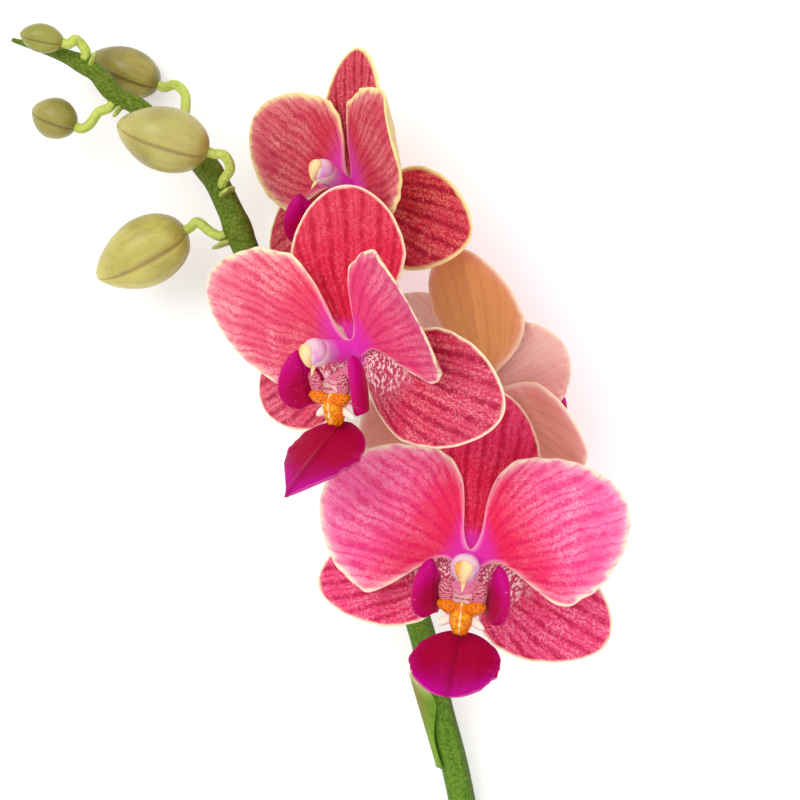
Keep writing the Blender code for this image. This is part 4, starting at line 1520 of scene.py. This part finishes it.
@dataclass
class Callus:
    """The warty crest between the side lobes: a long boss, and a wing, a tooth and an ear a side."""

    centre: Triple = (0.0, -12.8, 6.2)
    tilt: float = 20.0
    boss: Lump = Lump("callus_boss", (0.0, 0.1, 0.0), (2.6, 3.8, 2.1), 0.0, (
        (0.9, -2.6, 1.6, 0.7, 0.55), (-0.9, -2.6, 1.6, 0.7, 0.55), (0.9, -1.0, 2.1, 0.7, 0.45),
        (-0.9, -1.0, 2.1, 0.7, 0.45), (1.0, 0.7, 2.1, 0.7, 0.4), (-1.0, 0.7, 2.1, 0.7, 0.4),
        (1.0, 2.2, 1.8, 0.6, 0.4), (-1.0, 2.2, 1.8, 0.6, 0.4), (0.0, -1.8, 2.0, 0.4, -0.35),
        (0.0, 0.0, 2.2, 0.4, -0.35), (0.0, -3.2, 1.0, 0.4, -0.3), (0.0, 1.6, 2.0, 0.4, -0.3),
        (1.5, -3.4, 0.6, 0.45, 0.5), (-1.5, -3.4, 0.6, 0.45, 0.5), (0.5, -3.9, 0.4, 0.4, 0.4),
    ))
    wing: Lump = Lump("callus_wing", (2.9, 3.0, 0.7), (2.6, 1.5, 1.2), 16.0, (
        (1.2, 0.4, 0.8, 0.5, 0.35), (0.1, 0.6, 1.0, 0.5, 0.35), (-0.9, 0.2, 1.0, 0.5, 0.3),
        (0.7, -0.6, 0.8, 0.45, 0.3), (1.9, -0.1, 0.6, 0.4, 0.3),
    ))
    tooth: Lump = Lump("callus_tooth", (3.0, -0.5, -0.1), (1.5, 1.3, 0.55), -32.0, (
        (1.5, 0.0, 0.0, 0.6, 1.1), (0.3, 1.3, 0.0, 0.7, -0.3), (0.3, -1.3, 0.0, 0.7, -0.3),
    ))
    ear: Lump = Lump("callus_ear", (3.7, 6.0, 0.2), (1.7, 3.0, 1.1), -8.0, (
        (0.0, 0.0, 1.1, 1.3, -0.7),
    ))

    def build(self, name: str, place: np.ndarray, size: float, finishes: Tissues) -> None:
        """Build the callus: the boss in the middle, and a wing, a tooth and an ear mirrored to each side.

        Args:
            name: The flower's name.
            place: The flower's place.
            size: The flower's size.
            finishes: Materials by tissue.
        """
        node = f"{name}_callus"
        heading = place @ translation(*(np.array(self.centre) * size)) @ rotation(self.tilt, "X")
        self.boss.skin(size).placed(heading).piece(
            f"{name}_{self.boss.name}", finishes["callus"], "callus_yellow", node)
        for lump, tissue in ((self.wing, "callus"), (self.tooth, "tooth"), (self.ear, "ear")):
            for side in Side:
                skin = lump.skin(size)
                skin.points = skin.points * (side.value, 1, 1)
                skin.placed(heading).piece(
                    f"{name}_{lump.name}_{side.name.lower()}", finishes[tissue], "callus_yellow", node)


@dataclass
class Column:
    """The column, the hood at its head, its beak and its anther cap."""

    foot: float = -0.3
    length: float = 11.2
    profile: tuple[tuple[float, float], ...] = (
        (0.0, 2.3), (2.2, 2.2), (3.4, 2.4), (5.5, 2.65), (8.0, 2.95), (10.0, 3.1), (11.2, 2.7))
    hood_centre: Triple = (0.0, 0.35, 10.3)
    hood_radii: Triple = (3.2, 3.0, 3.0)
    scoop_toward: Triple = (0.0, -0.45, 1.0)
    beak_at: float = 10.2
    beak_length: float = 5.0
    beak_radius: float = 1.2
    beak_lean: float = -14.0
    cap_centre: Triple = (0.0, 0.7, 12.75)
    cap_width: float = 2.1
    cap_back: float = 1.6
    cap_front: float = 3.7
    cap_height: float = 1.2

    def build(self, name: str, place: np.ndarray, size: float, finishes: Tissues) -> None:
        """Build the column, hood, beak and cap.

        Args:
            name: The flower's name.
            place: The column's place.
            size: The flower's size.
            finishes: Materials by tissue.
        """
        place = place @ translation(0.0, 0.0, self.foot * size)
        node = f"{name}_column"
        pieces = (
            ("column_skin", self.shaft(), "column", "column_violet", node),
            ("hood", self.hood(), "column", "column_violet", node),
            ("beak", self.beak(), "cap", "column_violet", node),
            ("cap_skin", self.cap(), "cap", "anther_cream", f"{name}_anther_cap"),
        )
        for part, skin, tissue, slot, stands_for in pieces:
            skin.points = skin.points * size
            skin.placed(place).piece(f"{name}_{part}", finishes[tissue], slot, stands_for)

    def shaft(self) -> Skin:
        """Carry circles up the axis.

        The radius follows the profile, smoothed by a raised cosine window; the underside is hollowed
        by a bell curve of the height times one of the angle.

        Returns:
            The surface.
        """
        height = np.linspace(0.0, self.length, 65)
        marks = np.array(self.profile)
        even = np.linspace(-0.6, self.length + 0.6, 91)
        window = np.hanning(9)
        padded = np.pad(np.interp(even, marks[:, 0], marks[:, 1]), 4, mode="edge")
        smooth = np.convolve(padded, window / window.sum(), mode="valid")
        radius = np.interp(height, even, smooth)
        angle = around(56)
        hollow = 1 - 0.4 * bell(angle - 0.75 * TURN, 0.6) * bell(height[:, None] - 7.4, 1.7)
        reach = radius[:, None] * hollow
        rings = np.stack([reach * np.cos(angle), reach * np.sin(angle), height[:, None] + 0 * reach], axis=-1)
        share = height[:, None] / self.length + 0 * reach
        notes = np.stack([np.cos(angle) + 0 * reach, share, np.sin(angle) + 0 * reach], axis=-1)
        return round_skin(rings, notes, rings)

    def hood(self) -> Skin:
        """Work the hood out as an egg, scooped round the cap by a bell curve of the angle from there.

        Returns:
            The surface.
        """
        rays = ball(57, 72)
        away = np.arccos(np.clip(rays @ unit(np.array(self.scoop_toward)), -1, 1))
        reach = egg(rays, self.hood_radii) * (1 - 0.2 * bell(away, 0.6))
        rings = rays * reach[..., None] + self.hood_centre
        # The colour note drops from the hood's top towards its sides and underside, turning them lilac:
        # painted shade.
        share = 0.94 - 0.06 * bell(away - 1.0, 0.3) - 0.32 * np.arccos(rays[..., 2]) / np.pi
        notes = np.stack([rays[..., 0], share, rays[..., 1]], axis=-1)
        return round_skin(rings, notes, rings)

    def beak(self) -> Skin:
        """Narrow circles, flattened by a fifth, to a soft point.

        Returns:
            The surface.
        """
        step = np.linspace(0.0, 1.0, 33)[:, None]
        turn = around(32)
        reach = self.beak_radius * (1 - 0.9 * step ** 1.4)
        height = self.beak_length * step + 0 * turn
        rings = np.stack([reach * np.cos(turn), 0.8 * reach * np.sin(turn), height], axis=-1)
        heading = translation(0.0, 0.0, self.beak_at) @ rotation(90 + self.beak_lean, "X")
        rings = moved(rings, heading)
        return round_skin(rings, rings, rings)

    def cap(self) -> Skin:
        """Work the cap out as a drop with a groove along it.

        Its half width shrinks to the front by a power of the share of the way to the tip.

        Returns:
            The surface.
        """
        x, y, z = np.moveaxis(ball(49, 64), -1, 0)
        forward = np.clip(-y, 0, 1)
        narrow = 1 - 0.75 * forward ** 1.6
        groove = 1 - 0.35 * bell(x, 0.16) * (z > 0)
        reach = np.where(y < 0, self.cap_front, self.cap_back)
        level = z * self.cap_height * groove - 0.9 * forward ** 2
        rings = np.stack([x * self.cap_width * narrow, y * reach, level], axis=-1) + self.cap_centre
        return round_skin(rings, rings, rings)


@dataclass
class Flower:
    """One open flower: its place, the pose of each tepal, its finishes and its stalk."""

    name: str
    centre: Triple
    yaw: float
    pitch: float
    roll: float
    dorsal: Pose
    sepal_left: Pose
    sepal_right: Pose
    petal_left: Pose
    petal_right: Pose
    stalk: tuple[Triple, ...]
    petal_finish: PetalFinish
    dorsal_finish: SepalFinish
    lateral_finish: SepalFinish
    size: float = 1.0
    column_droop: float = 14.0
    column_turn: float = 0.0
    receptacle_radius: float = 2.6
    receptacle_depth: float = 1.5
    seed: int = 0
    midlobe: Blade = ROUND_MIDLOBE
    # A darker, more violet copy of the petal finish for the right petal: painted shade on its curled fold.
    curled_shaded_finish: PetalFinish | None = None

    def place(self) -> np.ndarray:
        """Give the flower's place: rolled, pitched, yawed and moved to its centre."""
        turn = rotation(self.yaw, "Y") @ rotation(self.pitch, "X") @ rotation(self.roll, "Z")
        return translation(*self.centre) @ turn

    def build(self, finishes: Tissues, stem: Stem) -> None:
        """Build the whole flower.

        Args:
            finishes: Materials of the lip, column, cap and stalk.
            stem: The stem that its stalk grows on.
        """
        place = self.place()
        petal = self.petal_finish.material()
        curled_shaded = self.curled_shaded_finish.material() if self.curled_shaded_finish else petal
        lateral = self.lateral_finish.material()
        tepals = (
            ("dorsal_sepal", DORSAL_SEPAL, self.dorsal, Side.RIGHT, self.dorsal_finish.material()),
            ("lateral_sepal_right", LATERAL_SEPAL, self.sepal_right, Side.RIGHT, lateral),
            ("lateral_sepal_left", LATERAL_SEPAL, self.sepal_left, Side.LEFT, lateral),
            ("petal_right", PETAL, self.petal_right, Side.RIGHT, curled_shaded),
            ("petal_left", PETAL, self.petal_left, Side.LEFT, petal),
        )
        for index, (part, pattern, pose, side, material) in enumerate(tepals):
            height = PETAL_BASE_HEIGHT if pattern is PETAL else SEPAL_BASE_HEIGHT
            slot = "petal_pink" if pattern is PETAL else "sepal_red"
            blade = pose.fitted(pattern)
            skin = blade.skin(self.size, side is Side.LEFT, 10 * self.seed + index)
            skin.placed(place @ pose.matrix(height, self.size, side)).piece(
                f"{self.name}_{part}_skin", material, slot, f"{self.name}_{part}")
        Lip(midlobe=self.midlobe).build(self.name, place, self.size, finishes, 10 * self.seed + 5)
        Callus().build(self.name, place, self.size, finishes)
        column_place = place @ rotation(self.column_turn, "Y") @ rotation(self.column_droop, "X")
        Column().build(self.name, column_place, self.size, finishes)
        back = place[:3, :3] @ np.array((0.0, 0.0, -1.0))
        seat = np.array(self.centre) + back * self.receptacle_depth * self.size
        foot, out, _ = stem.foot(np.array(self.stalk[-1]))
        route = [foot, foot + out * 2.0, *self.stalk[:-1][::-1], seat + back * 2.5, seat]
        Stalk(f"{self.name}_stalk", route, self.receptacle_radius * self.size).build(finishes["stalk"])
        LOG.info("%s flower: 5 tepals, lip, callus, column, cap and stalk", self.name)


STEM_ROUTE = (
    (19.7, -119.3, 2.9, 3.05), (15.6, -99.0, 5.3, 3.1), (12.6, -84.6, 7.2, 3.15), (9.6, -73.0, 8.8, 3.1),
    (4.6, -52.4, 12.0, 3.1), (0.0, -40.4, 14.0, 3.1), (-6.4, -26.4, 17.0, 3.1), (-13.7, -12.6, 19.5, 3.1),
    (-20.6, 1.1, 21.0, 3.0), (-26.9, 16.0, 21.5, 3.0), (-31.5, 26.2, 21.5, 3.0), (-35.4, 34.9, 21.0, 3.0),
    (-38.9, 43.5, 20.0, 2.9), (-44.2, 53.2, 19.0, 2.7), (-52.8, 60.6, 18.0, 2.5), (-61.1, 68.0, 17.0, 2.2),
    (-65.1, 69.9, 16.5, 2.1), (-70.0, 75.3, 16.0, 2.0), (-76.8, 79.2, 15.0, 1.7), (-89.8, 83.4, 12.5, 0.5),
)

FLOWERS = (
    Flower(
        name="front", centre=(15.4, -35.3, 44.0), yaw=-7.0, pitch=-4.0, roll=-6.0, seed=1,
        dorsal=Pose(90.0, -6.0, 4.0, 1.0, 1.01),
        sepal_left=Pose(-15.0, -14.0, -2.0, 0.97, 0.96),
        sepal_right=Pose(-26.0, -14.0, 11.0, 0.94, 1.12),
        petal_left=Pose(24.0, 4.0, -6.0, 0.94, 1.08),
        petal_right=Pose(26.0, 4.0, 0.0, 0.95, 1.02),
        column_droop=11.0,
        stalk=((16.3, -36.2, 33.0), (12.8, -37.2, 23.5), (5.8, -38.2, 17.3)),
        petal_finish=PetalFinish("front_petal_satin"),
        dorsal_finish=SepalFinish(
            "front_dorsal_satin", Ink.STRIPED, base="D80440", middle="DC1044", tip="DE346C",
            stripe="B80434", speck="F08CA8", specks=0.36, glow_reach=0.16),
        lateral_finish=SepalFinish("front_sepal_satin"),
    ),
    Flower(
        name="middle", centre=(-9.9, 10.9, 51.0), yaw=-36.0, pitch=2.0, roll=-5.0, seed=2,
        dorsal=Pose(101.0, -2.0, 28.0, 0.93, 1.06),
        sepal_left=Pose(-24.0, -12.0, 1.0, 0.97, 0.97),
        sepal_right=Pose(-16.0, -4.0, 10.0, 1.0, 1.19),
        petal_left=Pose(14.0, 8.0, 26.0, 1.05, 0.97),
        petal_right=Pose(28.0, 14.0, 15.0, 0.94, 0.97, 0.05, Fold((0.0, 14.5), -3.0, 47.0, 8.0)),
        column_droop=5.0, column_turn=-20.0,
        stalk=((-5.2, 11.0, 43.5), (-6.0, 12.6, 36.0), (-12.0, 18.5, 31.0), (-19.0, 21.2, 25.9)),
        petal_finish=PetalFinish(
            "middle_petal_satin", base="E02858", inner="DE2C58", middle="DE3A64", outer="EA7086",
            vein="C41848", pale="FAC8C4", rim="F2E0B4", rim_width=1.1, back="D9AB98", glow_reach=0.22),
        # The curled right petal's finish is the petal finish made darker and more violet: painted shade.
        curled_shaded_finish=PetalFinish(
            "middle_curled_satin", base="DC2464", inner="D82C66", middle="D23C6C", outer="D04C84",
            vein="B81460", pale="F2ACBC", rim="EEDCB0", rim_width=0.8, back="DCA08C", back_vein=0.3),
        midlobe=POINTED_MIDLOBE,
        dorsal_finish=SepalFinish(
            "middle_dorsal_satin", Ink.STRIPED, base="D8003C", middle="D4083C", tip="D43450",
            stripe="B0042C", speck="F0909C", specks=0.3, glow_reach=0.16),
        lateral_finish=SepalFinish(
            "middle_sepal_satin", base="C01A44", middle="CE2850", tip="D03A60", stripe="9C0A34",
            speck="F4B0B0", specks=0.55),
    ),
    Flower(
        name="top", centre=(-10.8, 47.4, 25.5), yaw=-53.0, pitch=4.0, roll=-4.0, size=0.94, seed=3,
        dorsal=Pose(95.0, -3.0, 4.0, 0.885, 0.93),
        sepal_left=Pose(-25.0, 9.5, -12.0, 0.9, 1.16),
        sepal_right=Pose(-15.0, -8.0, -4.0, 1.01, 1.08),
        petal_left=Pose(30.0, 14.0, -8.0, 0.945, 0.92),
        petal_right=Pose(29.0, 15.0, -1.0, 0.97, 0.95, 0.05, Fold((0.0, 25.5), -12.0, 42.0, 8.0)),
        column_droop=-27.0,
        stalk=((-5.2, 47.0, 20.5), (-5.6, 38.0, 16.5), (-13.0, 29.0, 16.5), (-22.3, 27.2, 19.0)),
        petal_finish=PetalFinish(
            "top_petal_satin", base="C81C48", inner="C4203E", middle="C22C48", outer="D04C60",
            vein="A01034", pale="F0A4A0", rim="F0E09A", rim_width=1.6, glow="E044BC", glow_reach=0.3,
            back="D8BC84"),
        midlobe=POINTED_MIDLOBE,
        dorsal_finish=SepalFinish(
            "top_dorsal_satin", Ink.STRIPED, base="B80C30", middle="C02440", tip="C8344C",
            stripe="9C0828", speck="EFA2A2", specks=0.5, rim="F0E2A0", rim_width=0.8),
        lateral_finish=SepalFinish(
            "top_sepal_satin", base="C4183C", middle="D01C42", tip="CC2A48", stripe="9C0C2E",
            speck="F4AA90", specks=0.6, rim="EFDC9C", rim_width=0.7, white_reach=0.4),
    ),
    Flower(
        name="back", centre=(20.2, 2.5, 23.78), yaw=136.0, pitch=-23.0, roll=3.0, seed=4,
        dorsal=Pose(98.0, -1.0, 0.0, 0.91, 1.16),
        sepal_left=Pose(-16.0, -12.0, -9.0, 0.92, 1.03),
        sepal_right=Pose(-19.0, -12.0, -4.0, 1.0, 1.0),
        petal_left=Pose(25.0, 9.0, -2.0, 0.62, 1.03),
        petal_right=Pose(23.0, 6.0, 5.0, 0.92, 0.97),
        stalk=((15.6, 0.6, 28.6), (6.0, 3.5, 32.0), (-6.0, 4.0, 30.5), (-13.2, -0.9, 26.1)),
        petal_finish=PetalFinish("back_petal_satin", back="EEC0B8", back_vein=0.16),
        dorsal_finish=SepalFinish(
            "back_dorsal_satin", Ink.STRIPED, back="DE9C60", back_stripe=0.16, speck="F0A0A0", rim_width=0.7),
        lateral_finish=SepalFinish("back_sepal_satin", back="DE9686", back_stripe=0.16, rim_width=0.7),
    ),
)

BUDS = (
    Bud("bud_1", (-76.8, 81.7, 20.0), (-86.9, 83.9, 20.4), 3.45, 0.5, (-73.7, 78.3, 16.0),
        ((-74.6, 82.6, 19.4), (-73.4, 82.0, 18.4)),
        BudFinish("bud_1_skin", light="98963A", green="787E26", seam="5E5020", blush="7A6A2C")),
    Bud("bud_2", (-74.6, 63.0, 15.5), (-84.8, 67.2, 15.0), 4.9, 0.48, (-67.5, 71.2, 16.4),
        ((-71.6, 63.4, 15.8), (-69.3, 66.3, 16.2)),
        BudFinish("bud_2_skin", light="98903C", green="767028", seam="604C22", blush="7C6630")),
    Bud("bud_3", (-56.4, 73.6, 6.5), (-72.7, 80.6, 4.9), 5.9, 0.45, (-53.6, 60.9, 17.9),
        ((-52.6, 73.5, 8.5), (-49.9, 71.0, 12.5), (-49.5, 66.4, 16.0)),
        BudFinish("bud_3_skin", light="A09440", green="504812", seam="54421C", blush="6C5426")),
    Bud("bud_4", (-43.2, 55.9, 29.0), (-63.6, 62.1, 31.0), 7.5, 0.45, (-44.8, 52.8, 19.0),
        ((-39.7, 55.2, 28.5), (-38.4, 52.5, 27.0), (-40.2, 49.9, 23.6)),
        BudFinish("bud_4_skin", light="B4AC5C", green="7E762C")),
    Bud("bud_5", (-49.2, 39.0, 18.0), (-69.8, 28.2, 15.5), 8.1, 0.43, (-37.4, 39.8, 20.4),
        ((-46.7, 40.8, 18.7), (-43.2, 38.4, 19.5)),
        BudFinish("bud_5_skin", light="C2B85C", green="9C923E", blush="96703A")),
)


@dataclass
class Studio:
    """The pale floor, the soft lights and the camera straight above the table."""

    camera_height: float = 630.0
    lens: float = 120.0
    sensor: float = 36.0
    floor_size: float = 3.0
    floor_glow: float = 0.2
    lights: tuple[tuple[str, Triple, float, float], ...] = (
        ("key", (-0.34, 0.30, 0.62), 0.5, 2.1),
        ("fill", (0.42, -0.20, 0.60), 0.8, 0.8),
        ("foot", (-0.05, -0.55, 0.45), 0.7, 0.5),
    )

    def build(self) -> None:
        """Build the stage, the lights and the camera."""
        self.floor()
        self.shine()
        self.camera()
        LOG.info("studio: floor, %d lights, camera at %.0f mm", len(self.lights), self.camera_height)

    def floor(self) -> None:
        """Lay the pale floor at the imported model's own zero; it glows a little, like a light table."""
        half = self.floor_size / 2
        mesh = bpy.data.meshes.new("floor")
        corners = [(-half, -half, 0.0), (half, -half, 0.0), (half, half, 0.0), (-half, half, 0.0)]
        mesh.from_pydata(corners, [], [(0, 1, 2, 3)])
        graph = Graph("pale_floor")
        soft = graph.noise(graph.place(), 0.004, 2.0)
        graph.emit("FFFFFF", self.floor_glow)
        mesh.materials.append(graph.done(graph.mix(soft, "F4F4F4", "F7F7F7"), 0.9, None, 0.0, 0.0))
        obj = bpy.data.objects.new("floor", mesh)
        bpy.context.scene.collection.objects.link(obj)

    def shine(self) -> None:
        """Hang the area lights, turned to the spray, in an evenly lit white room."""
        world = bpy.data.worlds.new("studio")
        world.use_nodes = True
        sky = world.node_tree.nodes["Background"]
        sky.inputs["Color"].default_value = (1.0, 1.0, 1.0, 1.0)
        sky.inputs["Strength"].default_value = 0.92
        bpy.context.scene.world = world
        for name, spot, size, power in self.lights:
            data = bpy.data.lights.new(name, "AREA")
            data.energy = power
            data.size = size
            lamp = bpy.data.objects.new(name, data)
            down = unit(np.array(spot) - np.array((0.0, 0.0, 0.03)))
            side = unit(np.cross((0.0, 1.0, 0.0), down))
            turn = np.eye(4)
            turn[:3, :3] = np.stack([side, np.cross(down, side), down], axis=1)
            turn[:3, 3] = spot
            lamp.matrix_world = turn.T.tolist()
            bpy.context.scene.collection.objects.link(lamp)

    def camera(self) -> None:
        """Set the camera straight above the table's zero."""
        data = bpy.data.cameras.new("camera")
        data.lens = self.lens
        data.sensor_width = self.sensor
        data.clip_start = 0.01
        obj = bpy.data.objects.new("camera", data)
        obj.location = (TABLE_ZERO + (0.0, 0.0, self.camera_height)) * MM
        bpy.context.scene.collection.objects.link(obj)
        bpy.context.scene.camera = obj
        bpy.context.scene.view_settings.view_transform = "Standard"


def keep_sizes() -> None:
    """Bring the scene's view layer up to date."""
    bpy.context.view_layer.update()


def main() -> None:
    """Build the stem, the flowers, the buds and the studio, and report each."""
    logging.basicConfig(level=logging.INFO, format="%(name)s: %(message)s")
    nodes = [flower.stalk[-1] for flower in FLOWERS] + [bud.node for bud in BUDS]
    feet = [flower.stalk[-1] for flower in FLOWERS] + [bud.stalk[-1] for bud in BUDS]
    stem = Stem(STEM_ROUTE, nodes=nodes, feet=feet)
    stem.build(
        StemFinish("stem_skin_green", upper_share=0.8),
        StemFinish("bract_skin_green", green="9CB04C", light="C4CC74", tint_and_shade_share=0.0),
        StemFinish(
            "sheath_skin_green", green="4E841C", light="74A030", upper="DCD896", upper_share=0.75,
            upper_from=0.68, tint_and_shade_share=0.0),
    )
    stalk = StemFinish(
        "stalk_skin_green", green="B8C65A", light="CCD66E", tint_and_shade="8C9C3C", tint_and_shade_share=0.5).material()
    finishes = {
        "midlobe": LobeFinish("midlobe_wax", rim_highlight_share=0.2).material(),
        # The side lobes carry painted highlights as pale dots, without the rim line.
        "side_lobe": LobeFinish(
            "side_lobe_wax", deep="A80040", bright="B80062", edge="BC0072", rim_highlight_share=0.0,
            specks=0.5).material(),
        "throat": ThroatFinish("throat_wax").material(),
        "callus": CallusFinish("callus_wax").material(),
        "tooth": CapFinish("tooth_wax", cream="F8EEDC", warm="F4D8B0").material(),
        "ear": CallusFinish(
            "ear_wax", yellow="F0BCA8", orange="DC7C94", dot="8C0830", white="B81850", dots=0.0,
            bars=0.9).material(),
        "column": ColumnFinish("column_wax").material(),
        "cap": CapFinish("cap_wax").material(),
        "stalk": stalk,
    }
    for flower in FLOWERS:
        flower.build(finishes, stem)
    for bud in BUDS:
        bud.build(stalk, stem)
    Studio().build()
    keep_sizes()


if __name__ == "__main__":
    main()
